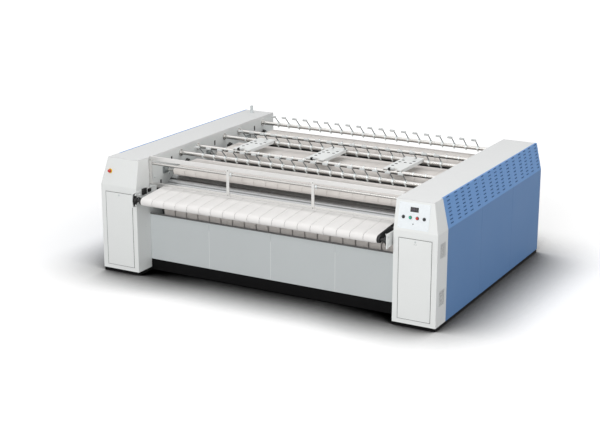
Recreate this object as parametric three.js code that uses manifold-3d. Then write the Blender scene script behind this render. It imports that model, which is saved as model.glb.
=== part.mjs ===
// A three-roll flatwork ironer for hospital and hotel linen, in millimetres, +Z up.
// The linen goes in at the front (-Y) over the feed belts, through the gap under the
// finger guard, over three heated rolls and out down the slide at the back (+Y).
// A cabinet at each end carries the rolls, the drive and the controls.
import * as THREE from "three";
import { mergeVertices } from "three/addons/utils/BufferGeometryUtils.js";
import Module from "manifold-3d";

const wasm = await Module();
wasm.setup();

// Driving dimensions ------------------------------------------------------------

// gaps between pieces
const touch = 0.3; // between pieces that rest on each other
const seam = 1.2; // between neighbouring sheet-metal covers
const runningGap = 0.3; // round a shaft in its hole
const holeSides = 16; // flats round a shaft hole

// overall
const workingWidth = 3490; // clear width between the two end cabinets
const cabinetWidth = 535;
const coverAboveBelt = 180; // from the upper belts' top to the cabinets' roof
const kneeDrop = 345; // below the roof, where the covers start to lean inwards
const sideLean = 75; // how far the outer covers lean in at the top
const frontLean = 65; // how far the control face leans back at the top
const plinthHeight = 40;
const columnDepth = 285; // the white front column of each cabinet

// frame and covers
const wallThickness = 12;
const plinthBeam = 60;
const plinthInset = 6;
const sheet = 3;
const panelCount = 3; // blue side panels on each cabinet
const panelReturn = 22; // folded edge of a cover
const columnFlange = 40; // folded edge at the column's foot
const topCoverDepth = 30;
const roofStep = 8; // the top cover's skirt rides this far above the column's roof

// column door
const doorBottom = 92;
const doorBelowKnee = 82;
const doorInset = 68; // from the column's outer face to the door's outer edge
const doorMargin = 65; // from the column's inner face to the door's inner edge
const doorThickness = 20;
const doorReveal = 2.5;
const doorLip = 14; // how far the frame reaches behind the door's edge
const doorFrameWidth = 22;
const lockRadius = 8;
const lockHeadRadius = 13;
const lockHeadHeight = 3;
const lockBelowDoorTop = 32;
const lockCamLength = 31;
const lockCamWidth = 12;
const lockCamThickness = 3;

// apron under the feed table
const apronThickness = 5;
const apronBottom = 152;
const apronTop = 738;
const apronPanels = 4;
const apronReturn = 30;
const beamDepth = 50;
const beamBottom = 8;

// heated rolls
const rollPitch = 1010;
const rollRadius = 385;
const rollWall = 16;
const rollEndInset = 75; // from the end wall to the roll's head
const rollClearance = 76.7; // between the column's back and the lower belt
const rearRoom = 150; // between the last roll and the cabinets' back
const headThickness = 20;
const journalRadius = 55;
const journalBore = 25;
const journalReach = 150; // past the inner face of the end wall
const sprocketRadius = 118;
const sprocketWidth = 24;
const sprocketFromWall = 60;

// belts
const beltThickness = 6;
const beltPitch = 168;
const beltLeftMargin = 154; // from the end wall to the first belt
const beltRightMargin = 140; // at least this much past the last belt
const beltGroove = 5;
const beltGrooveDepth = 3;
const beltTurnSteps = 5; // flats on each half turn of a belt
const upperBeltTop = 1290;
const upperRollerRadius = 45.7;
const upperFrontReach = 171; // upper belt's front roller, ahead of the roll's axis
const upperRearReach = [315, 348, 250]; // rear rollers, behind each roll's axis
const rollerJournalRadius = 15;
const lowerBeltLoop = 26; // inside radius of the lower belt's end turns
const lowerBeltStart = 182; // degrees round the first roll, from the back
const lowerBeltEnd = 352;
const lowerBeltSteps = 20;

// feed conveyor
const feedGap = 21; // between the feed belts and the first roll
const feedAngle = 34; // degrees above the roll's axis, where the feed belts meet it
const feedLength = 515; // between the two feed rollers' axes, along the floor
const feedDrop = 46; // of the nose roller below the rear one
const noseRadius = 43.7;
const feedShaftRadius = 19;
const bracketThickness = 12;
const bracketFromWall = 18;
const bracketAhead = 41; // of the nose roller's axis
const bracketAbove = 82;
const bracketBelow = 89;
const bracketOnWall = 108; // past the column's back
const bracketSlope = 60; // the bracket's rear end is this much narrower
const padInset = 10;
const bearingThickness = 30;
const bearingHeight = 168;
const bearingWidth = 84;
const bearingNoseRadius = 36;
const bearingNose = 12;
const bearingBoltSpacing = 132;
const boltHeadRadius = 12;
const boltHeadHeight = 10;

// finger guard at the mouth
const guardBehindColumn = 13; // from the column's back to the guard's middle
const guardRailAbove = 15.3; // the feed belts' highest point
const guardRailHeight = 30;
const guardTubeRise = 272; // from the rail's underside to the tube's axis
const guardTubeRadius = 16.5;
const guardBarRise = 310; // from the rail's underside to the top bar's
const guardBarHeight = 53;
const guardRailDepth = 20;
const guardPostWidth = 40;
const guardPostDepth = 6;
const guardEndGap = 5;
const guardPosts = [-590, 575];
const guardPinRadius = 9;

// guide rods over the rolls
const rodRadius = 24;
const rodAboveBelt = 90; // from the upper belts' top to a rod's axis
const rodFlangeRadius = 44;
const rodFlangeThickness = 10;
const combRodFromRoll = [184, 223, 229]; // behind each roll's axis
const plainRodFromRoll = [586, 603]; // behind the first two rolls' axes
const fingerPitch = 166.4;
const fingersFromBeltEdge = [194, 194, 111]; // first finger of each comb rod
const fingersToBeltEdge = [100, 100, 20]; // at least this much past the last finger
const fingerRise = 128; // above the rod's axis
const fingerLean = 105;
const fingerRadius = 5.5;
const fingerHook = 34; // turned over to -X
const sleeveRadius = 15;
const sleeveLength = 42;
const clampWidth = 26;
const clampHeight = 34;

// perforated plates that tie the second and third guide rods
const tiePlateWidth = 250;
const tiePlateThickness = 5;
const tiePlateCentres = [-1075, -3, 1070];
const tiePlateOverhang = 26;
const tieFlangeDrop = 35; // stiffens the plate's right edge between the rods
const tieFlangeFromRod = 31;
const tieNotchWidth = 110; // in the front edge, where the rod shows
const tieNotchDepth = 62;
const tieHoleRadius = 20;
const tieHolePitch = 73; // across the plate
const tieHoleRowPitch = 102;
const tieFirstHoleRow = 187; // from the front edge
const tieHoles = [[-1, 0], [-1, 1], [-1, 2], [-1, 3], [0, 2], [1, 2], [1, 3]]; // column, row
const tieFootOut = 90; // from the plate's middle
const tieFootWidth = 66;
const tieFootDepth = 24;
const tieWireSlot = 18;
const tieWireReach = 60;

// controls
const plateWidth = 372;
const plateHeight = 292;
const plateThickness = 4;
const plateFromKnee = 26; // along the control face
const plateInward = 36.5; // from the cabinet's middle, towards the rolls
const plateBorder = 24; // of the plate, round the hole behind it
const buttonRadius = 15;
const buttonHeight = 12;
const buttonStem = 8;
const buttonSpacing = 83.5;
const buttonStandOff = 6; // room for the button's travel
const buttonsAboveEdge = 130; // above the plate's lower edge
const stemLength = 26;
const knobRadius = 17;
const knobHeight = 20;
const stopRadius = 20;
const stopHeight = 26;
const stopStem = 11;
const stopStandOff = 10;
const stopFromKnee = 178;
const stopFromOuter = 127;

// beacon stub on the left cabinet
const beaconRadius = 25;
const beaconHeight = 106.7;
const beaconFromInnerWall = 260;
const beaconFromBack = 169;

// drive, inside the right cabinet
const chainThickness = 14;
const chainSideGap = 4;
const gearboxFromSprocket = 30;
const gearboxThickness = 130;
const gearboxHalfLength = 105; // along Y
const gearboxAbove = 130; // above the roll's axis
const gearboxBelow = 260;
const torqueArmWidth = 60;
const torqueArmHeight = 40;
const motorRadius = 90;
const motorLength = 300;

// rear apron and delivery slide
const slideTop = 1080;
const slideTopFromBack = 117; // the cabinets' back
const slideBottom = 900;
const rearApronFromBack = 15;

// Worked-out places --------------------------------------------------------------

// Y = 0 is on the middle roll's axis here; the last lines move the origin.
const wallX = workingWidth / 2;
const outerX = wallX + cabinetWidth;
const topX = outerX - sideLean;
const cabinetHeight = upperBeltTop + coverAboveBelt;
const kneeHeight = cabinetHeight - kneeDrop;
const doorHeight = kneeHeight - doorBelowKnee - doorBottom;
const doorWidth = cabinetWidth - doorInset - doorMargin;

const rollAxesY = [-1, 0, 1].map((i) => i * rollPitch);
const upperLoopRadius = upperRollerRadius + touch + beltThickness;
const upperRollerZ = upperBeltTop - upperLoopRadius;
const rollAxisZ = upperRollerZ - upperLoopRadius - touch - rollRadius;
const rollEndX = wallX - rollEndInset;
const rodHeight = upperBeltTop + rodAboveBelt;
const sprocketX = wallX + wallThickness + sprocketFromWall;

// the lower belt's end turns, and how far it reaches from the first roll's axis
const lowerBeltTurn = rollRadius + touch + beltThickness + lowerBeltLoop;
const lowerBeltReach = lowerBeltTurn + lowerBeltLoop + beltThickness;
const columnBackY = rollAxesY[0] - lowerBeltReach - rollClearance;
const frontY = columnBackY - columnDepth;
const backY = rollAxesY[2] + rollRadius + rearRoom;
const rearApronY = backY - rearApronFromBack;
const slideTopY = backY - slideTopFromBack;

const beltLeft = beltLeftMargin - wallX;
const beltCount = Math.floor((workingWidth - beltLeftMargin - beltRightMargin) / beltPitch);
const beltRight = beltLeft + beltCount * beltPitch;
const feedLoopRadius = noseRadius + touch + beltThickness;
const feedRearReach = rollRadius + feedGap + feedLoopRadius; // from the first roll's axis
const feedRear = placeAround(rollAxesY[0], rollAxisZ, feedRearReach, 180 - feedAngle);
const feedNose = { y: feedRear.y - feedLength, z: feedRear.z - feedDrop };
const bracketX = wallX - bracketFromWall;
const bracketInnerX = bracketX - bracketThickness;
const guardY = columnBackY + guardBehindColumn;
const guardRailZ = feedRear.z + feedLoopRadius + guardRailAbove;
const guardTop = guardRailZ + guardBarRise + guardBarHeight;

const plateX = -plateInward;
const plateY = plateFromKnee + plateHeight / 2;
const stopX = -(cabinetWidth / 2 - stopFromOuter);

// A point in the Y-Z plane, at some distance and angle from another, from +Y towards +Z.
function placeAround(y, z, distance, degrees) {
  const angle = THREE.MathUtils.degToRad(degrees);
  return { y: y + distance * Math.cos(angle), z: z + distance * Math.sin(angle) };
}

// Materials ----------------------------------------------------------------------

function paint(color, roughness, metalness) {
  return new THREE.MeshStandardMaterial({ color, roughness, metalness });
}

const whitePaint = paint(0xe8eae9, 0.45, 0.0);
const coverPaint = paint(0xdedfde, 0.45, 0.0);
const wallPaint = paint(0xc8cccb, 0.5, 0.0);
const apronPaint = paint(0xb4b9b9, 0.5, 0.0);
const bluePaint = paint(0x5d8fc8, 0.45, 0.0);
const plinthPaint = paint(0x1a1a1a, 0.6, 0.0);
const polishedSteel = paint(0xb9b7b3, 0.22, 1.0);
const brightSteel = paint(0xd8d5d0, 0.25, 1.0);
const castBlack = paint(0x161616, 0.55, 0.2);
const feltBelt = paint(0xe2d9d4, 0.9, 0.0);
const whiteBelt = paint(0xf0eeec, 0.8, 0.0);
const zincPlate = paint(0xcfd3d2, 0.4, 0.7);
const panelPlate = paint(0xe9edf0, 0.35, 0.1);
const blackPlastic = paint(0x17191c, 0.4, 0.0);
const greenPlastic = paint(0x2fae8b, 0.35, 0.0);
const redPlastic = paint(0xc23a34, 0.35, 0.0);
const motorGrey = paint(0x4b5a66, 0.5, 0.3);

// Solids -------------------------------------------------------------------------

// A closed three.js geometry as a solid, with its faces turned outwards.
function solid(geometry) {
  const bare = geometry.clone();
  bare.deleteAttribute("normal");
  bare.deleteAttribute("uv");
  const merged = mergeVertices(bare, 1e-3);
  const triVerts = new Uint32Array(merged.index.array);
  if (signedVolume(merged) < 0) {
    for (let i = 0; i < triVerts.length; i += 3) {
      [triVerts[i + 1], triVerts[i + 2]] = [triVerts[i + 2], triVerts[i + 1]];
    }
  }
  const vertProperties = merged.attributes.position.array;
  return new wasm.Manifold(new wasm.Mesh({ numProp: 3, vertProperties, triVerts }));
}

function signedVolume(geometry) {
  const position = geometry.attributes.position;
  const index = geometry.index;
  const [a, b, c] = [0, 1, 2].map(() => new THREE.Vector3());
  let volume = 0;
  for (let i = 0; i < index.count; i += 3) {
    a.fromBufferAttribute(position, index.getX(i));
    b.fromBufferAttribute(position, index.getX(i + 1));
    c.fromBufferAttribute(position, index.getX(i + 2));
    volume += a.dot(b.cross(c)) / 6;
  }
  return volume;
}

function geometryOf(manifold) {
  const mesh = manifold.getMesh();
  const geometry = new THREE.BufferGeometry();
  geometry.setAttribute("position", new THREE.BufferAttribute(new Float32Array(mesh.vertProperties), 3));
  geometry.setIndex(new THREE.BufferAttribute(new Uint32Array(mesh.triVerts), 1));
  geometry.computeVertexNormals();
  return geometry;
}

// A box between two corners, whichever way round they are given.
function box(x0, x1, y0, y1, z0, z1) {
  const size = [x1 - x0, y1 - y0, z1 - z0].map(Math.abs);
  const geometry = new THREE.BoxGeometry(...size);
  geometry.translate((x0 + x1) / 2, (y0 + y1) / 2, (z0 + z1) / 2);
  return solid(geometry);
}

function shapeOf(points) {
  return new THREE.Shape(points.map(([u, v]) => new THREE.Vector2(u, v)));
}

// An outline in the Y-Z plane, drawn out along X; holes are outlines too.
function alongX(points, x0, x1, holes = []) {
  const shape = shapeOf(points);
  shape.holes = holes.map(shapeOf);
  const depth = Math.abs(x1 - x0);
  const geometry = new THREE.ExtrudeGeometry(shape, { depth, bevelEnabled: false });
  const [x, y, z] = [0, 1, 2].map((i) => new THREE.Vector3().setComponent(i, 1));
  geometry.applyMatrix4(new THREE.Matrix4().makeBasis(y, z, x));
  geometry.translate(Math.min(x0, x1), 0, 0);
  return solid(geometry);
}

// An outline in the X-Z plane, drawn out along Y.
function alongY(points, y0, y1, holes = []) {
  const shape = shapeOf(points);
  shape.holes = holes.map(shapeOf);
  const depth = Math.abs(y1 - y0);
  const geometry = new THREE.ExtrudeGeometry(shape, { depth, bevelEnabled: false });
  geometry.rotateX(Math.PI / 2);
  geometry.translate(0, Math.max(y0, y1), 0);
  return solid(geometry);
}

// A turned shape about an axis along X: the profile lists [radius, x].
function turnedX(profile, y, z, segments) {
  const points = profile.map(([radius, x]) => new THREE.Vector2(radius, x));
  const geometry = new THREE.LatheGeometry(points, segments);
  geometry.rotateZ(-Math.PI / 2);
  geometry.translate(0, y, z);
  return solid(geometry);
}

function rodX(radius, x0, x1, y, z, segments) {
  const low = Math.min(x0, x1);
  const high = Math.max(x0, x1);
  return turnedX([[0, low], [radius, low], [radius, high], [0, high]], y, z, segments);
}

function rodY(radius, y0, y1, x, z, segments) {
  const geometry = new THREE.CylinderGeometry(radius, radius, Math.abs(y1 - y0), segments);
  geometry.translate(x, (y0 + y1) / 2, z);
  return solid(geometry);
}

function rodZ(radius, z0, z1, x, y, segments) {
  const geometry = new THREE.CylinderGeometry(radius, radius, z1 - z0, segments);
  geometry.rotateX(Math.PI / 2).translate(x, y, (z0 + z1) / 2);
  return solid(geometry);
}

// Points of an arc in the Y-Z plane, angles in degrees from +Y towards +Z.
function arc(y, z, radius, from, to, steps) {
  return Array.from({ length: steps + 1 }, (_, i) => {
    const angle = THREE.MathUtils.degToRad(from + ((to - from) * i) / steps);
    return [y + radius * Math.cos(angle), z + radius * Math.sin(angle)];
  });
}

// The same arc made of flats that touch the circle from outside, as a belt lies on a roller.
function arcOutside(y, z, radius, from, to, steps) {
  const halfStep = (to - from) / steps / 2;
  const reach = radius / Math.cos(THREE.MathUtils.degToRad(halfStep));
  return arc(y, z, reach, from + halfStep, to - halfStep, steps - 1);
}

// The radius of a many-sided hole whose flats clear a round shaft.
function holeRadius(shaftRadius) {
  return (shaftRadius + runningGap) / Math.cos(Math.PI / holeSides);
}

function joined(...solids) {
  return solids.flat().reduce((whole, piece) => whole.add(piece));
}

function cut(whole, ...solids) {
  return solids.flat().reduce((left, piece) => left.subtract(piece), whole);
}

// The assembly -------------------------------------------------------------------

const machine = new THREE.Group();

function piece(name, shape, material, parent = machine) {
  const mesh = new THREE.Mesh(geometryOf(shape), material);
  mesh.name = name;
  parent.add(mesh);
  return mesh;
}

const ends = [
  { name: "left", side: -1 },
  { name: "right", side: 1 },
];

// Main frame: two end walls welded to the plinth beams and the cross beams -----------

function mainFrame() {
  const parts = [];
  const bores = [];
  const wallTop = cabinetHeight - topCoverDepth - touch;
  for (const { side } of ends) {
    const wallFront = columnBackY + touch;
    const wallBack = backY - sheet - touch;
    const inner = side * wallX;
    const outer = side * (wallX + wallThickness);
    parts.push(box(inner, outer, wallFront, wallBack, 0, wallTop));
    const outerBeam = side * (outerX - plinthInset);
    const beamY0 = frontY + plinthInset;
    const beamY1 = backY - plinthInset;
    parts.push(box(inner, outer, beamY0, wallFront + 1, 0, plinthHeight));
    parts.push(box(outerBeam - side * plinthBeam, outerBeam, beamY0, beamY1, 0, plinthHeight));
    parts.push(box(inner, outerBeam, beamY0, beamY0 + plinthBeam, 0, plinthHeight));
    parts.push(box(inner, outerBeam, beamY1 - plinthBeam, beamY1, 0, plinthHeight));
    for (const y of rollAxesY) {
      bores.push(rodX(holeRadius(journalRadius), inner - side, outer + side, y, rollAxisZ, holeSides));
    }
  }
  const frontBeam = columnBackY + touch;
  const rearBeam = rearApronY - sheet - touch;
  const beamTop = apronBottom - touch;
  parts.push(box(-wallX - 1, wallX + 1, frontBeam, frontBeam + beamDepth, beamBottom, beamTop));
  parts.push(box(-wallX - 1, wallX + 1, rearBeam - beamDepth, rearBeam, beamBottom, beamTop));
  return cut(joined(parts), bores);
}

piece("main_frame", mainFrame(), wallPaint);

// End cabinets -----------------------------------------------------------------------

// The side's outline in the X-Z plane, moved in by some distance from the outer faces.
function sideOutline(side, inset, bottom, top) {
  const leanPerHeight = sideLean / (cabinetHeight - kneeHeight);
  const reach = (z) => outerX - inset - Math.max(0, z - kneeHeight) * leanPerHeight;
  return [
    [side * reach(bottom), bottom],
    [side * reach(kneeHeight), kneeHeight],
    [side * reach(top), top],
  ];
}

// The front column is a folded shell, open behind and below, with the doorway in front.
function columnBody(side, inset, backReach, bottom, top) {
  const leanPerHeight = frontLean / (cabinetHeight - kneeHeight);
  const front = (z) => frontY + inset + Math.max(0, z - kneeHeight) * leanPerHeight;
  const inner = side * (wallX + inset);
  const shape = [
    ...sideOutline(side, inset, bottom, top),
    [inner, top],
    [inner, bottom],
  ];
  const deep = alongY(shape, frontY - 1, backReach);
  const sideView = [
    [front(bottom), bottom],
    [front(kneeHeight), kneeHeight],
    [front(top), top],
    [backReach, top],
    [backReach, bottom],
  ];
  return deep.intersect(alongX(sideView, -outerX - 1, outerX + 1));
}

function doorEdges(side) {
  const outer = side * (outerX - doorInset);
  const inner = outer - side * doorWidth;
  return { outer, inner, bottom: doorBottom, top: doorBottom + doorHeight };
}

function column(side) {
  const bottom = plinthHeight + touch;
  const roof = cabinetHeight - roofStep;
  const outside = columnBody(side, 0, columnBackY, bottom, roof);
  const inside = columnBody(side, sheet, columnBackY + 1, bottom + sheet, roof - sheet);
  const floorHole = box(
    side * (wallX + columnFlange),
    side * (outerX - columnFlange),
    frontY + columnFlange,
    columnBackY + 1,
    bottom - 1,
    bottom + sheet + 1,
  );
  const { outer, inner, bottom: low, top: high } = doorEdges(side);
  const out = side * doorReveal;
  const frameOut = out + side * doorFrameWidth;
  const backOfDoor = frontY + doorThickness + touch;
  const backOfLip = backOfDoor + sheet;
  const frame = box(
    outer + frameOut,
    inner - frameOut,
    frontY + sheet / 2,
    backOfLip,
    low - doorReveal - doorFrameWidth,
    high + doorReveal + doorFrameWidth,
  );
  const opening = box(outer + out, inner - out, frontY - 1, backOfDoor, low - doorReveal, high + doorReveal);
  const lip = side * doorLip;
  const throughLip = box(outer - lip, inner + lip, frontY - 1, backOfLip + 1, low + doorLip, high - doorLip);
  const shell = joined(cut(outside, inside, floorHole), frame);
  return cut(shell, opening, throughLip, controlHole(side));
}

function lockPlace(side) {
  const { outer, inner, top } = doorEdges(side);
  return { x: (outer + inner) / 2, z: top - lockBelowDoorTop };
}

function door(side) {
  const { outer, inner, bottom, top } = doorEdges(side);
  const lock = lockPlace(side);
  const edge = side * sheet;
  const leaf = box(outer, inner, frontY, frontY + doorThickness, bottom, top);
  const hollow = box(
    outer - edge,
    inner + edge,
    frontY + sheet,
    frontY + doorThickness + 1,
    bottom + sheet,
    top - sheet,
  );
  const boss = lockHeadRadius;
  const lockBoss = box(lock.x - boss, lock.x + boss, frontY + 1, frontY + doorThickness, lock.z - boss, top);
  const holeBack = frontY + doorThickness + 1;
  const hole = rodY(holeRadius(lockRadius), frontY - 1, holeBack, lock.x, lock.z, holeSides);
  return cut(joined(cut(leaf, hollow), lockBoss), hole);
}

function doorLock(side) {
  const lock = lockPlace(side);
  const camY = frontY + doorThickness + touch + sheet + touch;
  const headY = frontY - touch - lockHeadHeight;
  const head = rodY(lockHeadRadius, headY, frontY - touch, lock.x, lock.z, 16);
  const barrel = rodY(lockRadius, headY + 1, camY + lockCamThickness, lock.x, lock.z, 16);
  // at rest the cam lies to the side, and a quarter turn brings it up behind the lip
  const cam = box(
    lock.x + side * lockRadius,
    lock.x - side * lockCamLength,
    camY,
    camY + lockCamThickness,
    lock.z - lockCamWidth / 2,
    lock.z + lockCamWidth / 2,
  );
  return joined(head, barrel, cam);
}

// A side panel is one sheet bent at the knee, with returned edges at the foot and the top.
function sidePanel(side, index) {
  const bottom = plinthHeight + touch;
  const top = cabinetHeight - touch;
  const outline = [
    ...sideOutline(side, 0, bottom, top),
    ...sideOutline(side, panelReturn, top, top).slice(2),
    ...sideOutline(side, panelReturn, top - sheet, top - sheet).slice(2),
    ...sideOutline(side, sheet, bottom + sheet, top - sheet).reverse(),
    [side * (outerX - panelReturn), bottom + sheet],
    [side * (outerX - panelReturn), bottom],
  ];
  const first = columnBackY + touch;
  const last = backY - sheet - touch;
  const length = (last - first + seam) / panelCount;
  const start = first + index * length;
  return alongY(outline, start, start + length - seam);
}

function topCover(side) {
  const skirt = cabinetHeight - topCoverDepth;
  const edge = topX - panelReturn - touch;
  const front = frontY + frontLean;
  const lidBottom = cabinetHeight - roofStep + touch;
  const cover = box(side * wallX, side * edge, front, backY, skirt, cabinetHeight);
  const hollow = box(
    side * (wallX + sheet),
    side * (edge - sheet),
    front + sheet,
    backY - sheet,
    skirt - 1,
    cabinetHeight - sheet,
  );
  // over the column the cover is a plain lid on the column's roof
  const overColumn = box(
    side * (wallX - 1),
    side * (outerX + 1),
    front - 1,
    columnBackY + touch,
    skirt - 1,
    cabinetHeight + 1,
  );
  const lid = box(side * wallX, side * topX, front, columnBackY, lidBottom, cabinetHeight);
  const joint = box(side * wallX, side * edge, columnBackY - 1, columnBackY + 1, lidBottom, cabinetHeight);
  return joined(cut(cover, hollow, overColumn), lid, joint);
}

function rearPanel(side) {
  const bottom = plinthHeight + touch;
  const top = cabinetHeight - topCoverDepth - touch;
  const outline = [
    ...sideOutline(side, 0, bottom, top),
    [side * wallX, top],
    [side * wallX, bottom],
  ];
  return alongY(outline, backY - sheet, backY);
}

for (const { name, side } of ends) {
  const cabinet = new THREE.Group();
  machine.add(cabinet);
  piece(`${name}_front_column`, column(side), whitePaint, cabinet);
  piece(`${name}_door`, door(side), whitePaint, cabinet);
  piece(`${name}_door_lock`, doorLock(side), zincPlate, cabinet);
  for (let i = 0; i < panelCount; i += 1) {
    piece(`${name}_side_panel_${i + 1}`, sidePanel(side, i), bluePaint, cabinet);
  }
  piece(`${name}_top_cover`, topCover(side), coverPaint, cabinet);
  piece(`${name}_rear_panel`, rearPanel(side), wallPaint, cabinet);
}

// Apron -------------------------------------------------------------------------------

function apronPanel(index) {
  const width = workingWidth / apronPanels;
  const x0 = -wallX + index * width + seam / 2;
  const x1 = x0 + width - seam;
  const front = columnBackY - apronThickness;
  const back = columnBackY;
  const profile = [
    [front, apronBottom],
    [back, apronBottom],
    [back, apronTop - sheet],
    [front + apronReturn, apronTop - sheet],
    [front + apronReturn, apronTop],
    [front, apronTop],
  ];
  return alongX(profile, x0, x1);
}

for (let i = 0; i < apronPanels; i += 1) {
  piece(`apron_panel_${i + 1}`, apronPanel(i), apronPaint);
}

function rearApron() {
  const back = rearApronY;
  const profile = [
    [back, apronBottom],
    [back, slideBottom],
    [slideTopY, slideTop],
    [slideTopY - sheet, slideTop],
    [back - sheet, slideBottom - sheet],
    [back - sheet, apronBottom],
  ];
  return alongX(profile, -wallX + touch, wallX - touch);
}

piece("rear_apron", rearApron(), apronPaint);

// Rolls and belts ---------------------------------------------------------------------

// A hollow steel roll with journals that pass through the end walls; the right
// journal carries the chain sprocket. Steam comes in through the bored journals.
function heatedRoll(y) {
  const end = wallX + wallThickness + journalReach;
  const inside = rollEndX - headThickness;
  const round = (radius, x0, x1, sides) => rodX(radius, x0, x1, y, rollAxisZ, sides);
  const shell = round(rollRadius, -rollEndX, rollEndX, 40);
  const drum = cut(shell, round(rollRadius - rollWall, -inside, inside, 24));
  const journals = [-1, 1].map((side) => round(journalRadius, side * (rollEndX - 1), side * end, 20));
  const bores = [-1, 1].map((side) => round(journalBore, side * (inside - 1), side * (end + 1), 12));
  const sprocket = round(sprocketRadius, sprocketX, sprocketX + sprocketWidth, 24);
  return cut(joined(drum, journals, sprocket), bores);
}

// The steel roller inside a belt, with journals that reach the end walls.
function beltRoller(radius, y, z) {
  const face = 4;
  const end = wallX - touch;
  const profile = [
    [0, -end],
    [rollerJournalRadius, -end],
    [rollerJournalRadius, beltLeft - face],
    [radius, beltLeft - face],
    [radius, beltRight + face],
    [rollerJournalRadius, beltRight + face],
    [rollerJournalRadius, end],
    [0, end],
  ];
  return turnedX(profile, y, z, 16);
}

// The outline of a belt round two equal rollers.
function beltOutline(front, rear, radius) {
  const tilt = THREE.MathUtils.radToDeg(Math.atan2(rear.z - front.z, rear.y - front.y));
  return [
    ...arcOutside(front.y, front.z, radius, 90 + tilt, 270 + tilt, beltTurnSteps),
    ...arcOutside(rear.y, rear.z, radius, -90 + tilt, 90 + tilt, beltTurnSteps),
  ];
}

// A set of belts that lie side by side, as one band round two rollers.
function beltBand(front, rear, radius) {
  const outline = beltOutline(front, rear, radius);
  return alongX(outline, beltLeft, beltRight, [beltOutline(front, rear, radius - beltThickness)]);
}

// Grooves round the outside of a band, where one belt ends and the next begins.
function beltGrooves(front, rear, radius) {
  const outline = beltOutline(front, rear, radius + 1);
  const floor = beltOutline(front, rear, radius - beltGrooveDepth);
  return Array.from({ length: beltCount - 1 }, (_, i) => {
    const x = beltLeft + (i + 1) * beltPitch - beltGroove / 2;
    return alongX(outline, x, x + beltGroove, [floor]);
  });
}

function upperBelt(y, rearReach) {
  const front = { y: y - upperFrontReach, z: upperRollerZ };
  const rear = { y: y + rearReach, z: upperRollerZ };
  return beltBand(front, rear, upperLoopRadius);
}

rollAxesY.forEach((y, i) => {
  const group = new THREE.Group();
  machine.add(group);
  piece(`heated_roll_${i + 1}`, heatedRoll(y), polishedSteel, group);
  piece(`upper_belt_${i + 1}`, upperBelt(y, upperRearReach[i]), feltBelt, group);
  const frontRoller = beltRoller(upperRollerRadius, y - upperFrontReach, upperRollerZ);
  const rearRoller = beltRoller(upperRollerRadius, y + upperRearReach[i], upperRollerZ);
  piece(`belt_roller_front_${i + 1}`, frontRoller, brightSteel, group);
  piece(`belt_roller_rear_${i + 1}`, rearRoller, brightSteel, group);
});

// The lower belt hugs the first roll's underside and comes back just outside itself.
function lowerBelt() {
  const y = rollAxesY[0];
  const outline = (offset) => {
    const radius = lowerBeltLoop + offset;
    const first = placeAround(y, rollAxisZ, lowerBeltTurn, lowerBeltStart);
    const last = placeAround(y, rollAxisZ, lowerBeltTurn, lowerBeltEnd);
    return [
      ...arcOutside(y, rollAxisZ, lowerBeltTurn + radius, lowerBeltStart, lowerBeltEnd, lowerBeltSteps),
      ...arc(last.y, last.z, radius, lowerBeltEnd, lowerBeltEnd + 180, beltTurnSteps),
      ...arcOutside(y, rollAxisZ, lowerBeltTurn - radius, lowerBeltEnd, lowerBeltStart, lowerBeltSteps),
      ...arc(first.y, first.z, radius, lowerBeltStart - 180, lowerBeltStart, beltTurnSteps),
    ];
  };
  return alongX(outline(beltThickness), beltLeft, beltRight, [outline(0)]);
}

piece("lower_belt", lowerBelt(), feltBelt);

// Feed conveyor -----------------------------------------------------------------------

function noseRoller() {
  const face = 4;
  const end = bracketX;
  const profile = [
    [0, -end],
    [feedShaftRadius, -end],
    [feedShaftRadius, beltLeft - face],
    [noseRadius, beltLeft - face],
    [noseRadius, beltRight + face],
    [feedShaftRadius, beltRight + face],
    [feedShaftRadius, end],
    [0, end],
  ];
  return turnedX(profile, feedNose.y, feedNose.z, 20);
}

function feedBelt() {
  const band = beltBand(feedNose, feedRear, feedLoopRadius);
  return cut(band, beltGrooves(feedNose, feedRear, feedLoopRadius));
}

function feedBracket(side) {
  const front = feedNose.y - bracketAhead;
  const rear = columnBackY + bracketOnWall;
  const top = feedNose.z + bracketAbove;
  const bottom = feedNose.z - bracketBelow;
  const outline = [
    [front, bottom],
    [front, top],
    [rear, top],
    [rear, bottom + bracketSlope],
  ];
  const plate = alongX(outline, side * bracketInnerX, side * bracketX);
  // pads behind the plate meet the end wall and the column
  const padBottom = bottom + bracketSlope + padInset;
  const pad = (y0, y1) => {
    return box(side * (bracketX - 1), side * (wallX - touch), y0, y1, padBottom, top - padInset);
  };
  const padInColumn = columnDepth / 8;
  const pads = [pad(columnBackY + touch, rear), pad(frontY + padInColumn, columnBackY - padInColumn)];
  const hole = rodX(
    holeRadius(feedShaftRadius),
    side * (bracketInnerX - 1),
    side * (bracketX + 1),
    feedNose.y,
    feedNose.z,
    holeSides,
  );
  return cut(joined(plate, pads), hole);
}

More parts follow.
